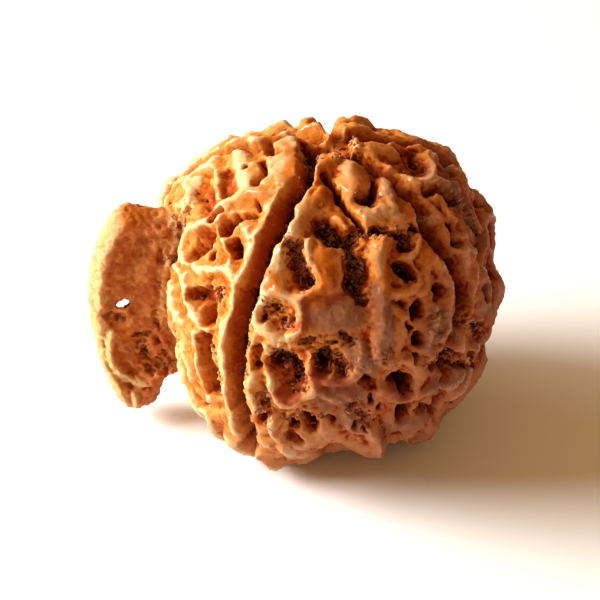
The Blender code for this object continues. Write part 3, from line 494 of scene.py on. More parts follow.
def net(points):
    """The raised net of the unseen sides: rounded ridges between warped cells, with pits in some of them."""
    random = np.random.default_rng(NET_SEED)
    order = np.arange(NET_CELLS) + 0.5
    polar = np.arccos(1 - 2 * order / NET_CELLS)
    turn = math.pi * (1 + math.sqrt(5)) * order
    seeds = np.stack((np.cos(turn) * np.sin(polar), np.sin(turn) * np.sin(polar), np.cos(polar)), axis=1)
    seeds = mean_surface(unit(seeds + random.normal(0, NET_JITTER, seeds.shape)))
    floors = -NET_DEPTH * random.uniform(*NET_FLOOR_SHARES, NET_CELLS)
    pits = NET_PIT_DEPTH * (random.uniform(size=NET_CELLS) < NET_PIT_SHARE)
    places = points.copy()
    for amount, length, seed in NET_WARPS:
        shifts = [waves(points, length, NET_SEED + seed + axis) for axis in range(3)]
        places += amount * np.stack(shifts, axis=1)
    uneven = smooth_step(0.5 + NET_CREST_CONTRAST * waves(points, NET_CREST_LENGTH, NET_SEED + 9))
    crests = NET_HEIGHT * (1 - NET_CREST_SHARE + NET_CREST_SHARE * uneven)
    height = np.empty(len(points))
    for start in range(0, len(points), NET_PORTION):
        part = slice(start, start + NET_PORTION)
        distances = np.linalg.norm(places[part, None] - seeds[None], axis=2)
        nearest = distances.argmin(axis=1)
        distances.sort(axis=1)
        share = np.clip((distances[:, 1] - distances[:, 0]) / NET_RIDGE_WIDTH, 0.0, 1.0)
        floor = floors[nearest]
        rise = (1 - share * share) ** NET_ROUNDNESS
        height[part] = floor + (crests[part] - floor) * rise
        open_share = smooth_step(NET_PIT_STEEPNESS * (1 - distances[:, 0] / NET_PIT_RADIUS))
        height[part] -= pits[nearest] * open_share
    return height + NET_LUMPS * waves(points, NET_LUMP_LENGTH, NET_SEED + 8)


def seen_flat(points):
    """The points pressed together along the view, so that lines near the outline keep their seen width."""
    ahead = view_axes()[2]
    return points - (1 - VIEW_DEPTH_SHARE) * (points @ ahead)[:, None] * ahead


def seen_share(points):
    """1 on the side that the photograph shows, 0 on the far side, and between them along the outline."""
    facing = -unit(points) @ view_axes()[2]
    return smooth_step((facing - SEEN_FROM) / SEEN_FADE)


def bead_relief(points):
    """Height in mm over the mean surface at these points of it."""
    places = points.copy()
    for amount, length, seed in LINE_WARPS:
        places += amount * np.stack([waves(points, length, seed + axis) for axis in range(3)], axis=1)
    pictured = seen_flat(places)
    unseen = net(points)
    drawn = HOLLOW_LEVEL + FRONT_NET_SHARE * unseen
    for half_width, height, pixels in RIDGES:
        width = half_width * PIXEL * RIDGE_OVERSIZE
        line = seen_flat(on_bead(rounded_line(pixels), height))
        near, distance = line_distance(pictured, line, width)
        bell = np.clip(1 - (distance / width) ** 2, 0.0, 1.0) ** RIDGE_ROUNDNESS
        crest = HOLLOW_LEVEL + (height - HOLLOW_LEVEL) * bell
        drawn[near] = soft_max(drawn[near], crest, RIDGE_BLEND)
    for half_width, depth, pixels in PITS:
        width = half_width * PIXEL * PIT_OVERSIZE
        line = seen_flat(on_bead(rounded_line(pixels), PIT_LEVEL))
        near, distance = line_distance(pictured, line, width)
        open_share = smooth_step((1 - distance / width) / PIT_WALL)
        drawn[near] += (-depth - drawn[near]) * open_share
    grooves = [down_to_pole(on_bead(rounded_line(pixels), GROOVE_LEVEL))
               for pixels in (MAIN_GROOVE, RIGHT_GROOVE)]
    grooves += [meridian(longitude, int(longitude)) for longitude in BACK_GROOVES]
    for line in grooves:
        near, distance = line_distance(places, line, RIM_OFFSET + RIM_HALF_WIDTH)
        rim = RIM_HEIGHT * np.clip(1 - ((distance - RIM_OFFSET) / RIM_HALF_WIDTH) ** 2, 0.0, 1.0)
        unseen[near] = soft_max(unseen[near], rim, RIM_BLEND)
    height = unseen + (drawn - unseen) * seen_share(points)
    for line in grooves:
        near, distance = line_distance(places, line, GROOVE_HALF_WIDTH)
        open_share = smooth_step((GROOVE_HALF_WIDTH - distance) / GROOVE_WALL)
        height[near] += (-GROOVE_DEPTH - height[near]) * open_share
    for amount, length, seed in LUMPS:
        height += amount * waves(points, length, seed)
    return height * off_flat(points)


def vertex_places(mesh):
    """The vertices in mm."""
    places = np.empty(len(mesh.vertices) * 3, np.float32)
    mesh.vertices.foreach_get("co", places)
    return places.reshape(-1, 3).astype(float) / MM


def vertex_normals(mesh):
    normals = np.empty(len(mesh.vertices) * 3, np.float32)
    mesh.vertex_normals.foreach_get("vector", normals)
    return normals.reshape(-1, 3).astype(float)


def place_vertices(mesh, places):
    mesh.vertices.foreach_set("co", (places * MM).astype(np.float32).ravel())
    mesh.update()


def evaluated_mesh(obj):
    """A plain mesh of the object as its modifiers leave it, in world space."""
    bpy.context.view_layer.update()
    graph = bpy.context.evaluated_depsgraph_get()
    mesh = bpy.data.meshes.new_from_object(obj.evaluated_get(graph))
    mesh.transform(obj.matrix_world)
    return mesh


def settle(obj):
    """Puts the result of the object's modifiers into its mesh."""
    old = obj.data
    obj.data = evaluated_mesh(obj)
    obj.modifiers.clear()
    bpy.data.meshes.remove(old)


def fuse(obj, size, smoothing):
    """Remakes a solid on a fine grid, which welds what overlaps, and smooths it a little."""
    grid = obj.modifiers.new("grid", "REMESH")
    grid.mode = "VOXEL"
    grid.voxel_size = size * MM
    soften = obj.modifiers.new("soften", "SMOOTH")
    soften.iterations = smoothing
    soften.factor = 0.5
    settle(obj)


def new_piece(name, mesh):
    piece = bpy.data.objects.new(name, mesh)
    bpy.context.scene.collection.objects.link(piece)
    return piece


def make_body(name):
    """The round body with its relief, about its own middle."""
    mesh = bpy.data.meshes.new(name)
    ball = bmesh.new()
    bmesh.ops.create_icosphere(ball, subdivisions=BODY_DIVISIONS, radius=MM)
    ball.to_mesh(mesh)
    ball.free()
    surface = mean_surface(unit(vertex_places(mesh)))
    place_vertices(mesh, surface + unit(surface) * bead_relief(surface)[:, None])
    return new_piece(name, mesh)


stone = make_body("bead_stone")

# The outgrowth at the bead's left: a thin curved plate of the same stone with a swollen rim, a few pits and
# one small slanted hole. It grew out of the body, so it is welded to it with no seam. Its outline lies in
# the plane y = 0, as (x, z) in mm from the bead's middle.
FIN_OUTLINE = (
    (-7.6, 5.3), (-9.2, 5.45), (-10.6, 5.4), (-11.9, 5.6), (-12.7, 5.1), (-13.4, 3.95), (-14.1, 2.2),
    (-14.5, 0.2), (-14.6, -1.5), (-14.5, -3.4), (-14.3, -5.0), (-14.0, -6.3), (-13.6, -7.5),
    (-13.1, -8.4), (-12.3, -8.75), (-11.4, -8.6), (-10.8, -7.9), (-10.5, -7.0), (-10.1, -6.3),
    (-9.3, -5.9), (-8.2, -5.9), (-7.2, -5.0), (-7.0, 0.0), (-7.0, 4.0),
)
FIN_THICKNESS = 1.7
FIN_EDGE_ROUND = 0.82
FIN_RIM_SWELL = 0.30
FIN_RIM_INSET = 0.8
FIN_RIM_HALF_WIDTH = 0.65
FIN_BEND = 0.015
FIN_ROOT_X = -9.6
FIN_LUMPS = ((0.10, 2.4, 21), (0.04, 0.9, 22))
FIN_GRID = 0.09

# The hole lies along the line of sight, so that the table shows through it: its middle as (x, z) in mm, its
# half width and half height in mm, and its turns in degrees.
HOLE_SPOT = (-12.55, -1.1)
HOLE_HALF_SIZE = (0.48, 0.27)
HOLE_TILT = 22.0
HOLE_YAW = 8.6
HOLE_SLANT = 34.0
HOLE_SIDES = 20
PEG_LENGTH = 8.0

# Swellings and pits of the outgrowth's front: half width in pixels, height in mm, which is below 0 for a
# pit, and pixels of the line.
FIN_RELIEF = (
    (5, 0.45, ((114, 325), (114, 342), (119, 356), (128, 366), (142, 371))),
    (3, -0.30, ((106, 328), (108, 346), (113, 362), (123, 374), (136, 379))),
    (5, 0.35, ((102, 295), (104, 298))),
    (6, 0.50, ((138, 384), (141, 394))),
    (11, -0.55, ((107, 311), (121, 312))),
    (12, -0.45, ((143, 338), (152, 352), (164, 356))),
    (5, -0.65, ((136, 329), (150, 327))),
    (5, -0.60, ((144, 344), (146, 350))),
    (5, -0.60, ((150, 360), (153, 363))),
    (4, -0.55, ((164, 342), (166, 346))),
    (4, -0.50, ((158, 329), (160, 333))),
    (3.5, -0.50, ((159, 351), (161, 354))),
    (3.5, -0.50, ((172, 351), (173, 354))),
    (4, -0.50, ((168, 360), (170, 362))),
    (3, -0.45, ((137, 369), (141, 372))),
    (4, -0.45, ((148, 379), (154, 377))),
    (16, -0.22, ((134, 238), (134, 270), (136, 300))),
    (4, -0.35, ((160, 240), (163, 255))),
    (4, -0.35, ((154, 300), (160, 318))),
)


def near_rim(flat):
    """Which points of the plate's plane lie by its free edge, and their distances from it."""
    rim_line = np.array([(x, 0.0, z) for x, z in rounded_line(FIN_OUTLINE) if x < FIN_ROOT_X])
    return line_distance(flat, rim_line, FIN_RIM_INSET + FIN_RIM_HALF_WIDTH)


def make_outgrowth(name):
    """The plate from its outline, with its rounded edge, swollen rim, bend and pits."""
    curve = bpy.data.curves.new(name + "_outline", "CURVE")
    curve.dimensions = "2D"
    curve.fill_mode = "BOTH"
    curve.extrude = (FIN_THICKNESS / 2 - FIN_EDGE_ROUND) * MM
    curve.bevel_depth = FIN_EDGE_ROUND * MM
    curve.bevel_resolution = 3
    curve.offset = -FIN_EDGE_ROUND * MM
    spline = curve.splines.new("POLY")
    corners = rounded_line(FIN_OUTLINE + FIN_OUTLINE[:1])[:-1]
    spline.points.add(len(corners) - 1)
    for point, (x, z) in zip(spline.points, corners):
        point.co = (x * MM, z * MM, 0.0, 1.0)
    spline.use_cyclic_u = True
    plate = new_piece(name + "_outline", curve)
    plate.rotation_euler = (math.radians(90), 0.0, 0.0)
    mesh = evaluated_mesh(plate)
    bpy.data.objects.remove(plate)
    shape = bmesh.new()
    shape.from_mesh(mesh)
    bmesh.ops.remove_doubles(shape, verts=shape.verts, dist=0.001 * MM)
    bmesh.ops.recalc_face_normals(shape, faces=shape.faces)
    shape.to_mesh(mesh)
    shape.free()
    fin = new_piece(name, mesh)
    fuse(fin, FIN_GRID, 2)
    places, normals = vertex_places(fin.data), vertex_normals(fin.data)
    flat = places * (1, 0, 1)
    swell = np.zeros(len(places))
    near, distance = near_rim(flat)
    swell[near] = FIN_RIM_SWELL * smooth_step(1 - np.abs(distance - FIN_RIM_INSET) / FIN_RIM_HALF_WIDTH)
    front = smooth_step(0.5 - normals[:, 1])
    for half_width, height, pixels in FIN_RELIEF:
        width = half_width * PIXEL * PIT_OVERSIZE
        near, distance = line_distance(flat, on_fin(rounded_line(pixels)), width)
        swell[near] += height * smooth_step(1 - distance / width) * front[near]
    for amount, length, seed in FIN_LUMPS:
        swell += amount * waves(places, length, seed)
    places[:, 1] += np.sign(normals[:, 1]) * np.abs(normals[:, 1]) * swell
    places[:, 1] += FIN_BEND * np.clip(FIN_ROOT_X - places[:, 0], 0.0, None) ** 2
    place_vertices(fin.data, places)
    return fin


def drill_hole(fin):
    """Takes a slanted oval peg out of the plate."""
    mesh = bpy.data.meshes.new("hole_peg")
    shape = bmesh.new()
    bmesh.ops.create_cone(shape, cap_ends=True, segments=HOLE_SIDES, radius1=MM, radius2=MM,
                          depth=PEG_LENGTH * MM)
    shape.to_mesh(mesh)
    shape.free()
    peg = new_piece("hole_peg", mesh)
    peg.location = (HOLE_SPOT[0] * MM, 0.0, HOLE_SPOT[1] * MM)
    peg.rotation_mode = "ZYX"
    peg.rotation_euler = [math.radians(turn) for turn in (90 - HOLE_SLANT, HOLE_YAW, HOLE_TILT)]
    peg.scale = (*HOLE_HALF_SIZE, 1.0)
    boolean = fin.modifiers.new("through_hole", "BOOLEAN")
    boolean.operation = "DIFFERENCE"
    boolean.solver = "EXACT"
    boolean.object = peg
    settle(fin)
    bpy.data.objects.remove(peg)


outgrowth = make_outgrowth("outgrowth")
drill_hole(outgrowth)

# The whole stone: body and outgrowth welded, with crumbly pit walls, set on its small flat spot. It is a
# hard, waxy seed coat: cream on the ridges' edges, orange on their flanks, brown-black in the pits; the
# cream is partly painted highlight and the dark of the pits partly painted shade.
STONE_GRID = 0.085
STONE_TRIANGLES = 194000

# Its fine relief: height in mm, length in mm, and seed. The pits' walls crumble where they lie deep.
PIT_CRUMBS = ((0.15, 0.60, 51), (0.10, 0.32, 52))
PIT_CRUMB_SHARPNESS = 2.5
SKIN_LUMPS = ((0.020, 0.42, 61), (0.018, 0.24, 62))
PLATE_GRAIN = ((0.045, 0.50, 63), (0.030, 0.27, 64))
CRUMBLED_SHARE = 0.4
CRUMBLED_FROM = 0.06
CRUMBLED_FADE = 0.2

# The outgrowth begins where the stone stands this far over the mean surface, left of this place.
PLATE_RISE = 0.45
PLATE_RISE_FADE = 0.35
PLATE_ROOT_X = -8.8
PLATE_ROOT_FADE = 0.8

# How many times a vertex is averaged with its neighbours, for the relief of three widths.
FINE_ROUNDS = 3
MIDDLE_ROUNDS = 12
BROAD_ROUNDS = 60


def joined(first, second):
    """The first object's mesh with the second's in it."""
    shape = bmesh.new()
    shape.from_mesh(first.data)
    shape.from_mesh(second.data)
    shape.to_mesh(first.data)
    shape.free()
    bpy.data.objects.remove(second)


def height_over_mean(places):
    """Height in mm of these places over the body's mean surface, from the bead's middle."""
    surface = mean_surface(unit(places))
    return np.linalg.norm(places, axis=1) - np.linalg.norm(surface, axis=1)


def on_outgrowth(places):
    """0 on the body and 1 on the outgrowth."""
    beyond = height_over_mean(places) - PLATE_RISE
    left_of_root = PLATE_ROOT_X - places[:, 0]
    return smooth_step(beyond / PLATE_RISE_FADE) * smooth_step(left_of_root / PLATE_ROOT_FADE)


def mesh_edges(mesh):
    """The two vertices of each edge."""
    ends = np.empty(len(mesh.edges) * 2, np.int32)
    mesh.edges.foreach_get("vertices", ends)
    return ends.reshape(-1, 2)


def softened(values, ends, rounds):
    """Each vertex value averaged with its neighbours', this many times."""
    count = len(values)
    shared = np.bincount(ends.ravel(), minlength=count).astype(float)
    for _ in range(rounds):
        total = np.stack([
            np.bincount(ends[:, 0], column[ends[:, 1]], count)
            + np.bincount(ends[:, 1], column[ends[:, 0]], count)
            for column in values.T], axis=1)
        values = 0.5 * values + 0.5 * total / shared[:, None]
    return values


def stands_out(mesh, rounds):
    """How far each vertex stands out of its softened surroundings, in mm: below 0 in a hollow."""
    places = vertex_places(mesh)
    return ((places - softened(places, mesh_edges(mesh), rounds)) * vertex_normals(mesh)).sum(axis=1)


# Marks of the photograph: half width in pixels, and pixels along the mark. These first ones are crumbled
# stone with dry flesh on it, on the body and on the outgrowth.
ROUGH_PLACES = (
    (11, ((305, 152), (330, 152), (350, 145))),
    (9, ((176, 205), (174, 235), (170, 262))),
    (8, ((318, 226), (338, 240))),
    (10, ((288, 250), (294, 268), (303, 284))),
    (11, ((350, 238), (352, 265), (354, 296))),
    (6, ((357, 198), (370, 204))),
    (7, ((372, 234), (410, 236))),
    (10, ((266, 308), (280, 322))),
    (8, ((205, 286), (212, 300))),
    (8, ((208, 358), (212, 392))),
    (5, ((248, 300), (241, 345))),
    (4, ((300, 172), (286, 205), (269, 240), (256, 275))),
    (4, ((240, 350), (240, 400))),
    (5, ((244, 425), (250, 448))),
    (15, ((276, 358), (292, 382))),
    (12, ((318, 358), (338, 366))),
    (6, ((298, 344), (348, 343))),
    (9, ((432, 322), (436, 345))),
    (9, ((468, 322), (488, 340))),
    (7, ((428, 366), (474, 364))),
    (7, ((412, 408), (432, 412))),
    (9, ((352, 408), (368, 424))),
    (8, ((374, 356), (386, 362))),
    (9, ((440, 196), (468, 208))),
    (12, ((288, 420), (312, 418))),
    (8, ((260, 398), (262, 418))),
)
FIN_ROUGH_PLACES = (
    (15, ((140, 332), (150, 350), (170, 358))),
    (9, ((177, 200), (172, 225), (166, 255), (160, 285), (160, 318))),
    (7, ((102, 308), (124, 312))),
)

# Amber and cream places on the outgrowth; the cream is partly paler stone and partly painted highlight.
FIN_AMBER_PLACES = (
    (12, ((128, 212), (142, 208))),
    (8, ((128, 322), (130, 334))),
)
FIN_CREAM_AND_HIGHLIGHT_PLACES = (
    (7, ((112, 326), (110, 342), (116, 358), (128, 370), (144, 374))),
    (5, ((102, 296), (106, 292))),
    (5, ((138, 384), (140, 396))),
)

# Cream, dull, red and amber places on the body. The cream is partly paler stone and partly painted
# highlight; the dull places are partly matt skin and partly painted shade away from the lamp.
CREAM_AND_HIGHLIGHT_PLACES = (
    (6, HOLLOW_RING),
    (5, GROOVE_LIP),
    (10, ((284, 222), (281, 240), (274, 262))),
    (5, ((303, 243), (306, 258), (311, 271), (315, 284), (312, 293), (300, 297))),
    (6, ((330, 158), (318, 166), (308, 178), (303, 191))),
    (9, ((335, 132), (345, 142), (352, 156))),
    (10, ((346, 166), (349, 182))),
    (6, ((382, 184), (385, 200))),
    (9, ((362, 215), (384, 213), (405, 213))),
    (5, ((386, 234), (379, 250), (377, 275))),
    (5, ((416, 238), (411, 252), (407, 262), (414, 277))),
    (5, ((405, 179), (420, 182), (445, 181))),
    (8, ((285, 135), (285, 150), (275, 170))),
    (8, ((185, 180), (180, 200))),
    (6, ((236, 150), (238, 172), (240, 190))),
    (5, ((262, 352), (266, 370), (266, 388), (272, 400), (282, 407), (296, 405), (306, 398), (311, 387))),
    (9, ((290, 452), (312, 452))),
)
DULL_AND_SHADED_PLACES = (
    (12, ((350, 350), (366, 372))),
    (17, ((318, 316), (346, 318))),
    (10, ((377, 292), (380, 320), (379, 350))),
    (18, ((325, 402), (345, 398), (350, 420))),
    (14, ((385, 432), (420, 428))),
    (14, ((435, 390), (462, 378))),
    (14, ((448, 180), (462, 200), (480, 230), (490, 250))),
    (14, ((488, 290), (486, 320))),
    (12, ((435, 320), (430, 345))),
)
RED_PLACES = (
    (6, ((303, 165), (293, 187), (281, 205), (268, 225), (260, 245), (253, 265), (245, 285), (238, 305),
         (232, 325), (230, 350), (231, 380), (234, 410))),
    (9, ((322, 254), (324, 285))),
    (7, ((306, 300), (335, 300))),
    (7, ((376, 175), (386, 172))),
    (8, ((318, 385), (340, 385))),
    (6, ((274, 396), (292, 397))),
    (5, ((388, 398), (404, 400))),
    (9, ((203, 192), (206, 208))),
    (7, ((226, 176), (228, 193))),
    (9, ((410, 158), (416, 170))),
    (8, ((443, 160), (446, 172))),
    (6, ((325, 166), (322, 184), (326, 200))),
    (6, ((389, 190), (396, 204), (404, 216))),
    (6, ((392, 240), (388, 256), (388, 280))),
    (6, ((301, 300), (302, 318), (294, 336))),
    (6, ((262, 394), (276, 404), (292, 400))),
    (6, ((384, 394), (398, 397))),
    (5, ((366, 172), (372, 186))),
    (6, ((316, 360), (312, 384))),
)
AMBER_PLACES = (
    (9, ((318, 254), (320, 278), (312, 300))),
    (7, ((326, 162), (318, 178), (312, 196))),
    (7, ((280, 150), (292, 160), (286, 180))),
    (9, ((303, 128), (318, 129))),
    (9, ((270, 140), (256, 150))),
    (7, ((384, 240), (384, 290))),
    (8, ((352, 132), (366, 138), (378, 144))),
    (8, ((355, 172), (356, 190))),
    (8, ((400, 206), (412, 214))),
    (8, ((420, 240), (428, 262))),
    (7, ((244, 200), (262, 200))),
    (8, ((262, 275), (272, 290))),
)
MARK_OVERSIZE = 1.3
MARK_LEVEL = 0.35
MARK_STEEPNESS = 1.6

# Ridges right of this pixel get a thin painted sheen line along them: a painted highlight.
SHEEN_LINES_FROM = 425
SHEEN_LINE_HALF_WIDTH = 2.4


def marked(places, marks):
    """1 at these marks of the photograph's side and 0 away from them, for places from the bead's middle."""
    share = np.zeros(len(places))
    pictured = seen_flat(mean_surface(unit(places)))
    for half_width, pixels in marks:
        width = half_width * PIXEL * MARK_OVERSIZE
        line = seen_flat(on_bead(rounded_line(pixels), MARK_LEVEL))
        near, distance = line_distance(pictured, line, width)
        share[near] = np.maximum(share[near], smooth_step(MARK_STEEPNESS * (1 - distance / width)))
    return share * seen_share(places) * (1 - on_outgrowth(places))


def fin_marked(places, marks):
    """The same for marks on the front of the outgrowth."""
    share = np.zeros(len(places))
    flat = places * (1, 0, 1)
    for half_width, pixels in marks:
        width = half_width * PIXEL * PIT_OVERSIZE
        near, distance = line_distance(flat, on_fin(rounded_line(pixels)), width)
        share[near] = np.maximum(share[near], smooth_step(MARK_STEEPNESS * (1 - distance / width)))
    return share * on_outgrowth(places) * (places[:, 1] < 0)


def crumbled(places):
    """1 where the stone is crumbled and 0 where it is smooth, for places from the bead's middle."""
    return np.maximum(marked(places, ROUGH_PLACES), fin_marked(places, FIN_ROUGH_PLACES))


def crumble(mesh):
    """Rough walls in pits, grooves and crumbled places, a grainy outgrowth, a faint unevenness elsewhere."""
    places, normals = vertex_places(mesh), vertex_normals(mesh)
    rough = smooth_step((-stands_out(mesh, BROAD_ROUNDS) - CRUMBLED_FROM) / CRUMBLED_FADE)
    rough = np.maximum(rough, CRUMBLED_SHARE * crumbled(places))
    lift = np.zeros(len(places))
    for amount, length, seed in PIT_CRUMBS:
        lift += amount * (1 - PIT_CRUMB_SHARPNESS * np.abs(waves(places, length, seed))) * rough
    for amount, length, seed in SKIN_LUMPS:
        lift += amount * waves(places, length, seed)
    for amount, length, seed in PLATE_GRAIN:
        lift += amount * waves(places, length, seed) * on_outgrowth(places)
    lift *= off_flat(places)
    place_vertices(mesh, places + normals * lift[:, None])


def add_mask(mesh, name, values):
    """Keeps a value for each vertex, for the materials to read."""
    mask = mesh.attributes.new(name, "FLOAT", "POINT")
    mask.data.foreach_set("value", values.astype(np.float32))


joined(stone, outgrowth)
fuse(stone, STONE_GRID, 2)
crumble(stone.data)
stone.data.calc_loop_triangles()
thin = stone.modifiers.new("fewer_faces", "DECIMATE")
thin.ratio = STONE_TRIANGLES / len(stone.data.loop_triangles)
thin.use_collapse_triangulate = True
settle(stone)

# Masks for the material: how far the stone stands out or lies deep, where the outgrowth and its rim are,
# and the marks. Lengths are in mm, and each fade is the length over which a mask goes from 0 to 1.
CREST_FADE = 0.05
RIDGE_BASE = 0.35
RIDGE_FADE = 0.4
RIDGE_FROM_HEIGHT = 0.2
RIDGE_HEIGHT_FADE = 0.4
RIDGE_HEIGHT_SHARE = 0.35
HOLLOW_FADE = 0.45
SUNK_FROM = 0.2
SUNK_FADE = 1.6
RIM_MARGIN = 0.2
RIM_FADE = 0.7
RIM_ROOT_X = -11.2
RIM_ROOT_FADE = 2.2
# Painted shade: a bluer brown, more of it to the right, away from the lamp, and less towards the top.
AWAY_SIDE_SHADE_BASE = 0.25
AWAY_SIDE_SHADE_TO_RIGHT = 0.50
AWAY_SIDE_SHADE_TO_TOP = -0.45

stone_places = vertex_places(stone.data)
across, upward = stone_places[:, 0], stone_places[:, 2]
fine, middle, broad = (
    stands_out(stone.data, rounds) for rounds in (FINE_ROUNDS, MIDDLE_ROUNDS, BROAD_ROUNDS))
plate = on_outgrowth(stone_places)
height = np.where(plate > 0.5, 0.0, height_over_mean(stone_places))
high = RIDGE_HEIGHT_SHARE * np.clip((height - RIDGE_FROM_HEIGHT) / RIDGE_HEIGHT_FADE, -1, 1)
by_rim, rim_distance = near_rim(stone_places * (1, 0, 1))
rim = np.zeros(len(stone_places))
rim[by_rim] = smooth_step((FIN_RIM_INSET + FIN_RIM_HALF_WIDTH - RIM_MARGIN - rim_distance) / RIM_FADE)
rim *= smooth_step((RIM_ROOT_X - across) / RIM_ROOT_FADE)
rough = crumbled(stone_places)
away_side_shade = AWAY_SIDE_SHADE_BASE + (AWAY_SIDE_SHADE_TO_RIGHT * across + AWAY_SIDE_SHADE_TO_TOP * upward) / MEAN_RADIUS
sheen_lines = [(SHEEN_LINE_HALF_WIDTH, pixels) for _, _, pixels in RIDGES
               if np.mean(pixels, axis=0)[0] > SHEEN_LINES_FROM]
stone_masks = {
    "crest": np.clip(0.5 + fine / CREST_FADE, 0, 1),
    "ridge": np.clip(RIDGE_BASE + middle / RIDGE_FADE + high * (1 - plate), 0, 1.5),
    "hollow": np.clip(-broad / HOLLOW_FADE, 0, 1),
    "sunk": np.clip((SUNK_FROM - height) / SUNK_FADE, 0, 1) * (1 - plate),
    "plate": plate,
    "rim": rim * plate,
    "rough": rough,
    "side": np.clip(across / MEAN_RADIUS, -1, 1),
    "away_side_shade": np.clip(away_side_shade, 0, 1) * (1 - plate),
    "cream": marked(stone_places, CREAM_AND_HIGHLIGHT_PLACES),
    "dull_and_shaded": marked(stone_places, DULL_AND_SHADED_PLACES),
    "amber": np.maximum(marked(stone_places, AMBER_PLACES), fin_marked(stone_places, FIN_AMBER_PLACES)),
    # The edge mask is a painted sheen: painted highlight lines along the right-hand ridges.
    "edge": marked(stone_places, sheen_lines),
    "loop": fin_marked(stone_places, FIN_CREAM_AND_HIGHLIGHT_PLACES),
    "red": marked(stone_places, RED_PLACES),
}
for mask_name, mask_values in stone_masks.items():
    add_mask(stone.data, mask_name, mask_values)
stone_places[:, 2] = np.maximum(stone_places[:, 2] + CENTRE_HEIGHT, 0.0)
place_vertices(stone.data, stone_places)
stone.data.shade_smooth()


def fine_grain_group():
    """Woody speckle over the stone and the fibres: a mask of pores and a height for bump."""
    group = bpy.data.node_groups.new("woody_speckle", "ShaderNodeTree")
    group.interface.new_socket("Places", in_out="INPUT", socket_type="NodeSocketVector")
    group.interface.new_socket("Size", in_out="INPUT", socket_type="NodeSocketFloat")
    group.interface.new_socket("Pores", in_out="OUTPUT", socket_type="NodeSocketFloat")
    group.interface.new_socket("Height", in_out="OUTPUT", socket_type="NodeSocketFloat")
    nodes, links = group.nodes, group.links
    given = nodes.new("NodeGroupInput")
    result = nodes.new("NodeGroupOutput")
    grains = nodes.new("ShaderNodeTexNoise")
    grains.inputs["Detail"].default_value = 3.0
    grains.inputs["Roughness"].default_value = 0.65
    links.new(given.outputs["Places"], grains.inputs["Vector"])
    links.new(given.outputs["Size"], grains.inputs["Scale"])
    pores = nodes.new("ShaderNodeMapRange")
    pores.inputs["From Min"].default_value = 0.56
    pores.inputs["From Max"].default_value = 0.70
    links.new(grains.outputs["Fac"], pores.inputs["Value"])
    links.new(pores.outputs["Result"], result.inputs["Pores"])
    links.new(grains.outputs["Fac"], result.inputs["Height"])
    return group


woody_speckle = fine_grain_group()


def colour_ramp(nodes, stops):
    """A colour ramp with these (place, linear colour) stops."""
    ramp = nodes.new("ShaderNodeValToRGB")
    elements = ramp.color_ramp.elements
    while len(elements) < len(stops):
        elements.new(0.5)
    for element, (place, colour) in zip(elements, stops):
        element.position = place
        element.color = (*colour, 1.0)
    return ramp


def value_math(tree, kind, *values):
    """A Math node on sockets and numbers, and its result."""
    node = tree.nodes.new("ShaderNodeMath")
    node.operation = kind
    for socket, value in zip(node.inputs, values):
        if isinstance(value, bpy.types.NodeSocket):
            tree.links.new(value, socket)
        else:
            socket.default_value = value
    return node.outputs[0]


def times(tree, first, *others):
    """All of these multiplied."""
    for other in others:
        first = value_math(tree, "MULTIPLY", first, other)
    return first


def plus(tree, base, value, amount):
    """The base with this amount of the value added."""
    return value_math(tree, "MULTIPLY_ADD", value, amount, base)


def span(tree, value, low, high):
    """0 at the low end, 1 at the high end, smooth between them."""
    node = tree.nodes.new("ShaderNodeMapRange")
    node.interpolation_type = "SMOOTHSTEP"
    node.inputs["From Min"].default_value = low
    node.inputs["From Max"].default_value = high
    tree.links.new(value, node.inputs["Value"])
    return node.outputs["Result"]


def painted(tree, below, share, above):
    """The colour below, with the colour above over it by that share."""
    node = tree.nodes.new("ShaderNodeMix")
    node.data_type = "RGBA"
    factor, first, second = node.inputs[0], node.inputs[6], node.inputs[7]
    tree.links.new(share, factor)
    for socket, value in ((first, below), (second, above)):
        if isinstance(value, bpy.types.NodeSocket):
            tree.links.new(value, socket)
        else:
            socket.default_value = (*value, 1.0)
    return node.outputs[2]


def noise(tree, places, scale, detail=2.0, distortion=0.0):
    """Soft random patches, 1 / scale mm across."""
    node = tree.nodes.new("ShaderNodeTexNoise")
    node.inputs["Scale"].default_value = scale
    node.inputs["Detail"].default_value = detail
    node.inputs["Distortion"].default_value = distortion
    tree.links.new(places, node.inputs["Vector"])
    return node.outputs["Fac"]


def mask(tree, name):
    """A value that the mesh keeps under this name."""
    node = tree.nodes.new("ShaderNodeAttribute")
    node.attribute_name = name
    return node.outputs["Fac"]


def new_material(name):
    """A material, its node tree and its shader."""
    material = bpy.data.materials.new(name)
    material.use_nodes = True
    return material, material.node_tree, material.node_tree.nodes["Principled BSDF"]


def speckled(tree, places, size):
    """The woody speckle in a material, this many grains to a millimetre."""
    node = tree.nodes.new("ShaderNodeGroup")
    node.node_tree = woody_speckle
    node.inputs["Size"].default_value = size
    tree.links.new(places, node.inputs["Places"])
    return node


def millimetres(tree):
    """The place on the piece in millimetres."""
    place = tree.nodes.new("ShaderNodeTexCoord")
    scaled = tree.nodes.new("ShaderNodeVectorMath")
    scaled.operation = "SCALE"
    scaled.inputs["Scale"].default_value = 1 / MM
    tree.links.new(place.outputs["Object"], scaled.inputs[0])
    return scaled.outputs[0]


# The stone's colours, as linear light, from the shallow flanks to the cores of the pits.
STONE_RAMP = (
    (0.0, (0.50, 0.19, 0.036)),
    (0.12, (0.45, 0.125, 0.013)),
    (0.30, (0.35, 0.060, 0.004)),
    (0.50, (0.19, 0.020, 0.001)),
    (0.72, (0.078, 0.014, 0.007)),
    (0.92, (0.032, 0.010, 0.007)),
)

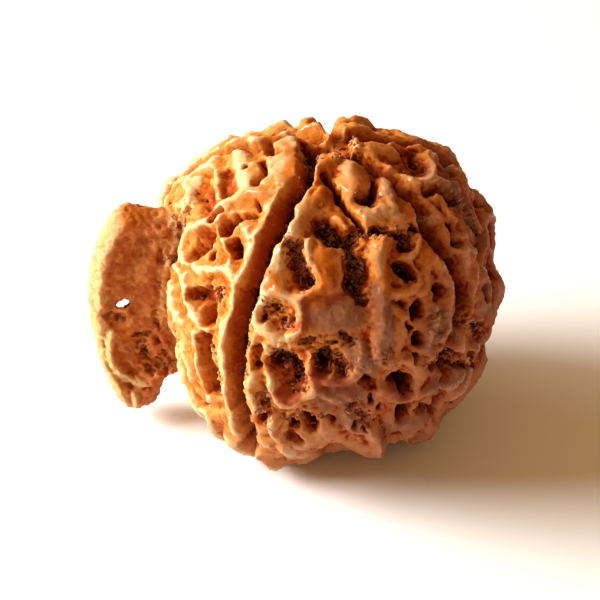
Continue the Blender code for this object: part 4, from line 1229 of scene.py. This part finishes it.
# How far each mask moves the colour along that ramp, and where it sets in: painted shade and light among
# them.
# Hollows, sunk places and pit cores: partly the pits' own dark, partly painted shade.
HOLLOW_DARK_AND_SHADE = 0.46
SUNK_DARK_AND_SHADE = 0.44
# Painted shade on the right, the side away from the lamp.
SHADE_SIDE_DARKENS = 0.16
# Painted shade in creases: at the feet of ridges and in fine gaps.
RIDGE_FOOT = (0.40, 0.10)
RIDGE_FOOT_SHADE = 0.16
FINE_GAPS = (0.42, 0.05)
FINE_GAP_SHADE = 0.14
# Painted light: lighter hollows on the lamp side.
LAMP_SIDE = (-0.2, -0.75)
LAMP_SIDE_LIGHTENS = -0.32
PIT_CORES = (0.62, 0.92)
PIT_CORE_DARK_AND_SHADE = 0.34
SHALLOW = (0.15, 0.5)
MOTTLE_CONTRAST = 0.44
SPECK_CONTRAST = 0.4

# Tints over the ramp, in this order, and how much of each there is at the most.
RED_STAIN = (0.26, 0.031, 0.002)
RED_SHARE = 0.92
RED_PATCHES = (0.45, 0.7)
RED_PATCH_SHARE = 0.25
# Painted shade: bluer brown away from the lamp and low down, over the ramp and again over the cream.
PAINTED_SHADE_BROWN = (0.27, 0.105, 0.062)
PAINTED_SHADE_SHARE = 0.75
PAINTED_SHADE_ON_CREAM_SHARE = 0.4
# Dull places: partly matt skin, partly painted shade on faces turned from the lamp.
DULL_AND_SHADED_BROWN = (0.175, 0.062, 0.034)
DULL_AND_SHADED_SHARE = 0.8
PLATE_BROWN = (0.31, 0.066, 0.015)
PLATE_ORANGE = (0.50, 0.20, 0.050)
PLATE_MOTTLE = (0.45, 0.68)
PLATE_SHARE = 0.85
# Cream: partly paler stone, partly painted highlight; yellower towards the lamp, less of it to the right.
CREAM = (0.46, 0.240, 0.100)
LAMP_SIDE_HIGHLIGHT_CREAM = (0.57, 0.40, 0.195)
LAMP_SIDE_HIGHLIGHT_SPAN = (0.0, -0.7)
CREAM_CRESTS = (0.80, 1.4)
CREAM_MOTTLE = (0.25, 0.75)
CREAM_RIDGES = (0.78, 1.15)
CREAM_SHARE = 0.9
CREAM_HIGHLIGHT_TO_RIGHT = -0.45
CREAM_WHERE_MARKED = 0.4
CREAM_ON_PLATE = -0.35
CREAM_ON_RED = -0.4
# Rim and loop of the outgrowth: partly paler stone, partly painted highlight at the end towards the lamp.
RIM_CREAM_AND_HIGHLIGHT = (0.52, 0.335, 0.140)
RIM_SHARE = 0.9
AMBER = (0.42, 0.105, 0.005)
AMBER_SHARE = 0.75
# Painted sheen: thin highlight lines on the right-hand ridges, broken up by the specks.
PAINTED_SHEEN = (0.55, 0.33, 0.20)
PAINTED_SHEEN_BREAKS = (0.35, 0.55)
PAINTED_SHEEN_SHARE = 0.5
DRY_FLESH = (0.40, 0.155, 0.055)
FLESH_FLECKS = (0.52, 0.66)
FLECK_SHARE = 0.4

# The surface: rougher in hollows, on dull places and in its specks, with a thin coat of wax on the ridges.
ROUGHNESS = 0.50
HOLLOW_ROUGHENS = 0.9
DULL_ROUGHENS = 0.2
SPECK_ROUGHENS = 0.15
STONE_GRAIN = 7.0
WAXED_RIDGES = (0.3, 0.9)
WAX_MOTTLE = (0.35, 0.6)
WAX_ON_RED = -0.8
WAX = 0.55


def stone_finish():
    """Seed coat: the ramp by depth and painted shade, the tints and painted highlights over it, speckle, a
    waxed coat and a little light inside.
    """
    material, tree, shader = new_material("waxy_seed_stone")
    places = millimetres(tree)
    crest, ridge, hollow, sunk, side = (
        mask(tree, name) for name in ("crest", "ridge", "hollow", "sunk", "side"))
    on_plate, on_rim, on_loop, crumbly, away_side_shade = (
        mask(tree, name) for name in ("plate", "rim", "loop", "rough", "away_side_shade"))
    cream, dull_and_shaded, red, amber, edge = (
        mask(tree, name) for name in ("cream", "dull_and_shaded", "red", "amber", "edge"))
    patches = noise(tree, places, 0.35, 3.0)
    mottle = noise(tree, places, 1.6, 4.0, 0.4)
    specks = noise(tree, places, 6.0, 4.0)

    # Darker with depth: the pits' own dark and painted shade, with painted light on the lamp side.
    depth_and_shade = plus(tree, times(tree, sunk, SUNK_DARK_AND_SHADE), hollow, HOLLOW_DARK_AND_SHADE)
    depth_and_shade = plus(tree, depth_and_shade, side, SHADE_SIDE_DARKENS)
    depth_and_shade = plus(tree, depth_and_shade, span(tree, ridge, *RIDGE_FOOT), RIDGE_FOOT_SHADE)
    depth_and_shade = plus(tree, depth_and_shade, span(tree, crest, *FINE_GAPS), FINE_GAP_SHADE)
    depth_and_shade = times(tree, depth_and_shade, plus(tree, 1.0, span(tree, side, *LAMP_SIDE), LAMP_SIDE_LIGHTENS))
    depth_and_shade = value_math(tree, "ADD", depth_and_shade, times(tree, span(tree, sunk, *PIT_CORES), PIT_CORE_DARK_AND_SHADE))
    uneven = plus(tree, -MOTTLE_CONTRAST / 2, mottle, MOTTLE_CONTRAST)
    speckles = plus(tree, -SPECK_CONTRAST / 2, specks, SPECK_CONTRAST)
    tone = value_math(tree, "ADD", value_math(tree, "ADD", depth_and_shade, uneven), speckles)
    ramp = colour_ramp(tree.nodes, STONE_RAMP)
    tree.links.new(tone, ramp.inputs["Fac"])

    shallow = value_math(tree, "SUBTRACT", 1.0, span(tree, depth_and_shade, *SHALLOW))
    reddened = times(tree, span(tree, patches, *RED_PATCHES), RED_PATCH_SHARE)
    reddened = value_math(tree, "MAXIMUM", reddened, times(tree, red, RED_SHARE))
    # Painted shade away from the lamp and low down.
    shade_painted = times(tree, away_side_shade, shallow, PAINTED_SHADE_SHARE)
    plate_shade = painted(tree, PLATE_BROWN, span(tree, mottle, *PLATE_MOTTLE), PLATE_ORANGE)
    # More cream towards the lamp and on the marks: painted highlight as well as paler stone.
    raised = plus(tree, ridge, side, CREAM_HIGHLIGHT_TO_RIGHT)
    raised = plus(tree, raised, cream, CREAM_WHERE_MARKED)
    raised = plus(tree, raised, on_plate, CREAM_ON_PLATE)
    raised = plus(tree, raised, red, CREAM_ON_RED)
    off_plate = value_math(tree, "SUBTRACT", 1.0, on_plate)
    pale = times(tree, span(tree, crest, *CREAM_CRESTS), span(tree, mottle, *CREAM_MOTTLE), off_plate)
    pale = value_math(tree, "MAXIMUM", pale, times(tree, span(tree, raised, *CREAM_RIDGES), CREAM_SHARE))
    cream_and_highlight = painted(tree, CREAM, span(tree, side, *LAMP_SIDE_HIGHLIGHT_SPAN), LAMP_SIDE_HIGHLIGHT_CREAM)
    rimmed = value_math(tree, "MAXIMUM", on_rim, on_loop)
    colour = ramp.outputs["Color"]
    for share, tint in (
            (times(tree, reddened, shallow), RED_STAIN),
            (shade_painted, PAINTED_SHADE_BROWN),
            (times(tree, dull_and_shaded, shallow, DULL_AND_SHADED_SHARE), DULL_AND_SHADED_BROWN),
            (times(tree, on_plate, shallow, PLATE_SHARE), plate_shade),
            (pale, cream_and_highlight),
            (times(tree, shade_painted, PAINTED_SHADE_ON_CREAM_SHARE), PAINTED_SHADE_BROWN),
            (times(tree, rimmed, RIM_SHARE), RIM_CREAM_AND_HIGHLIGHT),
            (times(tree, amber, shallow, AMBER_SHARE), AMBER),
            (times(tree, edge, span(tree, specks, *PAINTED_SHEEN_BREAKS), PAINTED_SHEEN_SHARE), PAINTED_SHEEN),
            (times(tree, crumbly, span(tree, specks, *FLESH_FLECKS), FLECK_SHARE), DRY_FLESH),
    ):
        colour = painted(tree, colour, share, tint)
    tree.links.new(colour, shader.inputs["Base Color"])

    roughness = plus(tree, ROUGHNESS, hollow, HOLLOW_ROUGHENS)
    roughness = plus(tree, roughness, dull_and_shaded, DULL_ROUGHENS)
    roughness = plus(tree, roughness, specks, SPECK_ROUGHENS)
    tree.links.new(roughness, shader.inputs["Roughness"])
    bump = tree.nodes.new("ShaderNodeBump")
    bump.inputs["Strength"].default_value = 0.6
    bump.inputs["Distance"].default_value = 0.05 * MM
    tree.links.new(speckled(tree, places, STONE_GRAIN).outputs["Height"], bump.inputs["Height"])
    tree.links.new(bump.outputs["Normal"], shader.inputs["Normal"])
    shader.inputs["Specular IOR Level"].default_value = 0.05
    shader.inputs["Subsurface Weight"].default_value = 0.35
    shader.inputs["Subsurface Radius"].default_value = (1.0, 0.35, 0.1)
    shader.inputs["Subsurface Scale"].default_value = 0.9 * MM
    waxed = times(tree, span(tree, ridge, *WAXED_RIDGES), span(tree, mottle, *WAX_MOTTLE),
                  plus(tree, 1.0, red, WAX_ON_RED), WAX)
    tree.links.new(waxed, shader.inputs["Coat Weight"])
    shader.inputs["Coat Roughness"].default_value = 0.17
    return material


stone.data.materials.clear()
stone.data.materials.append(stone_finish())
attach(stone, "root")
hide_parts("rudraksha_bead")

# Dry fibres of the fruit's flesh that cling in the pits, in the grooves, round the upper pole and in the
# crevice beside the outgrowth: short curled strands, pale tan and matt, with their roots in the stone.
FIBRE_COUNT = 800
FIBRE_SIDES = 4
FIBRE_KNOTS = 6
FIBRE_RADIUS = (0.035, 0.095)
FIBRE_LENGTH = (0.25, 0.85)
FIBRE_LIFT = 0.16
FIBRE_LIFT_SPREAD = (0.2, 1.0)
FIBRE_CURL = 0.12
FIBRE_SLACK = 0.9
FIBRE_TAPER = 0.65
ROOT_DEPTH = 0.06
FIBRE_SEED = 71
FIBRE_DARK = (0.20, 0.036, 0.010)
FIBRE_PALE = (0.50, 0.20, 0.075)
FIBRE_GRAIN = 9.0
FIBRE_WEAR = 0.5

# Where the flesh clings: in hollows deeper than this, more so where the stone is crumbled, and little of it
# on the outgrowth or near the table.
CLING_FROM = 0.08
CLING_FADE = 0.3
CLING_OUTSIDE_HOLLOWS = 0.12
FLESH_STRAY_SHARE = 0.04
CLEAR_HEIGHT = 0.8
BARE_PLATE_SHARE = 0.7


def clinging_places(random, count):
    """Places in mm on the stone where the dry flesh clings, and each one's three axes, the first outward."""
    places, normals = vertex_places(stone.data), vertex_normals(stone.data)
    hollow = smooth_step((-broad / HOLLOW_FADE - CLING_FROM) / CLING_FADE)
    weight = rough * (CLING_OUTSIDE_HOLLOWS + hollow) + FLESH_STRAY_SHARE * hollow
    weight *= places[:, 2] > CLEAR_HEIGHT
    weight *= 1 - BARE_PLATE_SHARE * plate
    roots = random.choice(len(places), count, p=weight / weight.sum())
    outward = normals[roots]
    along = unit(np.cross(outward, random.normal(size=outward.shape)))
    return places[roots], outward, along, np.cross(outward, along)


def make_fibres(name):
    """Strands rooted in the stone's hollows: each bends over and curls to one side."""
    random = np.random.default_rng(FIBRE_SEED)
    start, outward, along, aside = clinging_places(random, FIBRE_COUNT)
    length = random.uniform(*FIBRE_LENGTH, FIBRE_COUNT)[:, None]
    lift = FIBRE_LIFT * random.uniform(*FIBRE_LIFT_SPREAD, FIBRE_COUNT)[:, None]
    curl = FIBRE_CURL * random.normal(size=FIBRE_COUNT)[:, None]
    thickness = random.uniform(*FIBRE_RADIUS, FIBRE_COUNT)[:, None]
    rings = []
    for knot in range(FIBRE_KNOTS):
        t = knot / (FIBRE_KNOTS - 1)
        bend = np.sin(math.pi * t)
        centre = start + along * length * (t - 0.5) * FIBRE_SLACK
        centre = centre + outward * (lift * bend - ROOT_DEPTH) + aside * curl * bend
        radius = thickness * (1.0 - FIBRE_TAPER * t)
        for side in range(FIBRE_SIDES):
            turn = 2 * math.pi * side / FIBRE_SIDES
            rings.append(centre + radius * (math.cos(turn) * outward + math.sin(turn) * aside))
    corners = np.stack(rings, axis=1).reshape(-1, 3)
    pattern = []
    for knot in range(FIBRE_KNOTS - 1):
        low = knot * FIBRE_SIDES
        for side in range(FIBRE_SIDES):
            after = (side + 1) % FIBRE_SIDES
            high = low + FIBRE_SIDES
            pattern.append((low + side, low + after, high + after, high + side))
    per_strand = FIBRE_KNOTS * FIBRE_SIDES
    faces = []
    for strand in range(FIBRE_COUNT):
        base = strand * per_strand
        faces.extend(tuple(base + corner for corner in face) for face in pattern)
        faces.append(tuple(base + side for side in reversed(range(FIBRE_SIDES))))
        faces.append(tuple(base + per_strand - FIBRE_SIDES + side for side in range(FIBRE_SIDES)))
    mesh = bpy.data.meshes.new(name)
    mesh.from_pydata((corners * MM).tolist(), [], faces)
    mesh.shade_smooth()
    add_mask(mesh, "shade", np.repeat(random.uniform(size=FIBRE_COUNT), per_strand))
    return new_piece(name, mesh)


def fibre_finish():
    """Dry fruit flesh: matt, from dark to pale by the strand or the grain, darker in its pores."""
    material, tree, shader = new_material("dry_fruit_fibre")
    speckle = speckled(tree, millimetres(tree), FIBRE_GRAIN)
    colour = painted(tree, FIBRE_DARK, mask(tree, "shade"), FIBRE_PALE)
    worn = times(tree, speckle.outputs["Pores"], FIBRE_WEAR)
    colour = painted(tree, colour, worn, FIBRE_DARK)
    tree.links.new(colour, shader.inputs["Base Color"])
    shader.inputs["Roughness"].default_value = 0.75
    return material


fibres = make_fibres("pit_fibres")
flesh = fibre_finish()
fibres.data.materials.append(flesh)
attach(fibres, "root")

# Crumbs of the same dry flesh between the fibres: broken grains, pale or dark, stuck to the crumbled stone.
CRUMB_COUNT = 3000
CRUMB_SIZE = (0.04, 0.14)
CRUMB_SQUASH = (0.6, 1.4)
CRUMB_UNEVENNESS = (0.7, 1.3)
CRUMB_DARKNESS = 2.2
CRUMB_SEED = 72


def make_crumbs(name):
    """Squashed and turned grains with uneven corners, half sunk in the stone."""
    random = np.random.default_rng(CRUMB_SEED)
    start, outward, along, aside = clinging_places(random, CRUMB_COUNT)
    grain = bmesh.new()
    bmesh.ops.create_icosphere(grain, subdivisions=1, radius=1.0)
    corners = np.array([vertex.co for vertex in grain.verts])
    faces = np.array([[vertex.index for vertex in face.verts] for face in grain.faces])
    grain.free()
    size = random.uniform(*CRUMB_SIZE, (CRUMB_COUNT, 1, 1))
    size = size * random.uniform(*CRUMB_SQUASH, (CRUMB_COUNT, 1, 3))
    lumps = corners * size * random.uniform(*CRUMB_UNEVENNESS, (CRUMB_COUNT, len(corners), 1))
    axes = np.stack((along, aside, outward), axis=1)
    places = start[:, None] + lumps @ axes
    numbers = faces + len(corners) * np.arange(CRUMB_COUNT)[:, None, None]
    mesh = bpy.data.meshes.new(name)
    mesh.from_pydata((places.reshape(-1, 3) * MM).tolist(), [], numbers.reshape(-1, 3).tolist())
    shades = random.uniform(size=CRUMB_COUNT) ** CRUMB_DARKNESS
    add_mask(mesh, "shade", np.repeat(shades, len(corners)))
    return new_piece(name, mesh)


crumbs = make_crumbs("pit_crumbs")
crumbs.data.materials.append(flesh)
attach(crumbs, "root")

# The table top that the bead stands on: plain, pale and matt.
FLOOR_SIZE = 3.0
FLOOR_COLOUR = (0.86, 0.85, 0.83)

floor_mesh = bpy.data.meshes.new("table_top")
floor_mesh.from_pydata(
    [(-FLOOR_SIZE, -FLOOR_SIZE, 0), (FLOOR_SIZE, -FLOOR_SIZE, 0), (FLOOR_SIZE, FLOOR_SIZE, 0),
     (-FLOOR_SIZE, FLOOR_SIZE, 0)], [], [(0, 1, 2, 3)])
floor = new_piece("table_top", floor_mesh)
floor_finish, _, floor_shader = new_material("pale_matt_top")
floor_shader.inputs["Base Color"].default_value = (*FLOOR_COLOUR, 1.0)
floor_shader.inputs["Roughness"].default_value = 0.9
floor_shader.inputs["Specular IOR Level"].default_value = 0.1
floor_mesh.materials.append(floor_finish)

# The light of the photograph: one broad lamp low at the left, a weaker one behind it, a faint warm one at
# the front, and warm light from all round that fills the shadows with brown. A lamp has its place and its
# width in metres, its power in watts, and its colour.
MIDDLE = Vector((0.0, 0.0, CENTRE_HEIGHT * MM))
LAMPS = (
    ("left_lamp", (-0.41, 0.012, 0.20), 0.27, 5.6, (1.0, 1.0, 1.0)),
    ("back_left_lamp", (-0.39, 0.15, 0.20), 0.30, 0.8, (1.0, 1.0, 1.0)),
    ("front_lamp", (-0.12, -0.40, 0.06), 0.30, 0.28, (1.0, 0.62, 0.42)),
)
FILL_COLOUR = (0.43, 0.25, 0.105)

for lamp_name, lamp_place, lamp_size, lamp_power, lamp_colour in LAMPS:
    lamp = bpy.data.lights.new(lamp_name, "AREA")
    lamp.shape = "DISK"
    lamp.size = lamp_size
    lamp.energy = lamp_power
    lamp.color = lamp_colour
    stand = bpy.data.objects.new(lamp_name, lamp)
    stand.location = lamp_place
    stand.rotation_euler = (MIDDLE - Vector(lamp_place)).to_track_quat("-Z", "Y").to_euler()
    bpy.context.scene.collection.objects.link(stand)

room = bpy.data.worlds.new("warm_room")
room.use_nodes = True
room.node_tree.nodes["Background"].inputs["Color"].default_value = (*FILL_COLOUR, 1.0)
bpy.context.scene.world = room
bpy.context.scene.view_settings.view_transform = "Standard"

# The camera, where the photograph was taken from: 34 degrees above the table and close by.
SENSOR = 36.0
FRAME_PIXELS = 600
NEAREST_SEEN = 0.005

camera_lens = bpy.data.cameras.new("camera")
camera_lens.sensor_width = SENSOR
camera_lens.lens = SENSOR / (PIXEL * FRAME_PIXELS) * VIEW_DISTANCE
camera_lens.clip_start = NEAREST_SEEN
camera = bpy.data.objects.new("camera", camera_lens)
right, up, ahead = (Vector(axis) for axis in view_axes())
aim_across = (FRAME_PIXELS / 2 - CENTRE_PIXEL[0]) * PIXEL * MM
aim_up = (CENTRE_PIXEL[1] - FRAME_PIXELS / 2) * PIXEL * MM
camera.location = MIDDLE + right * aim_across + up * aim_up - ahead * VIEW_DISTANCE * MM
camera.rotation_euler = ahead.to_track_quat("-Z", "Y").to_euler()
bpy.context.scene.collection.objects.link(camera)
bpy.context.scene.camera = camera
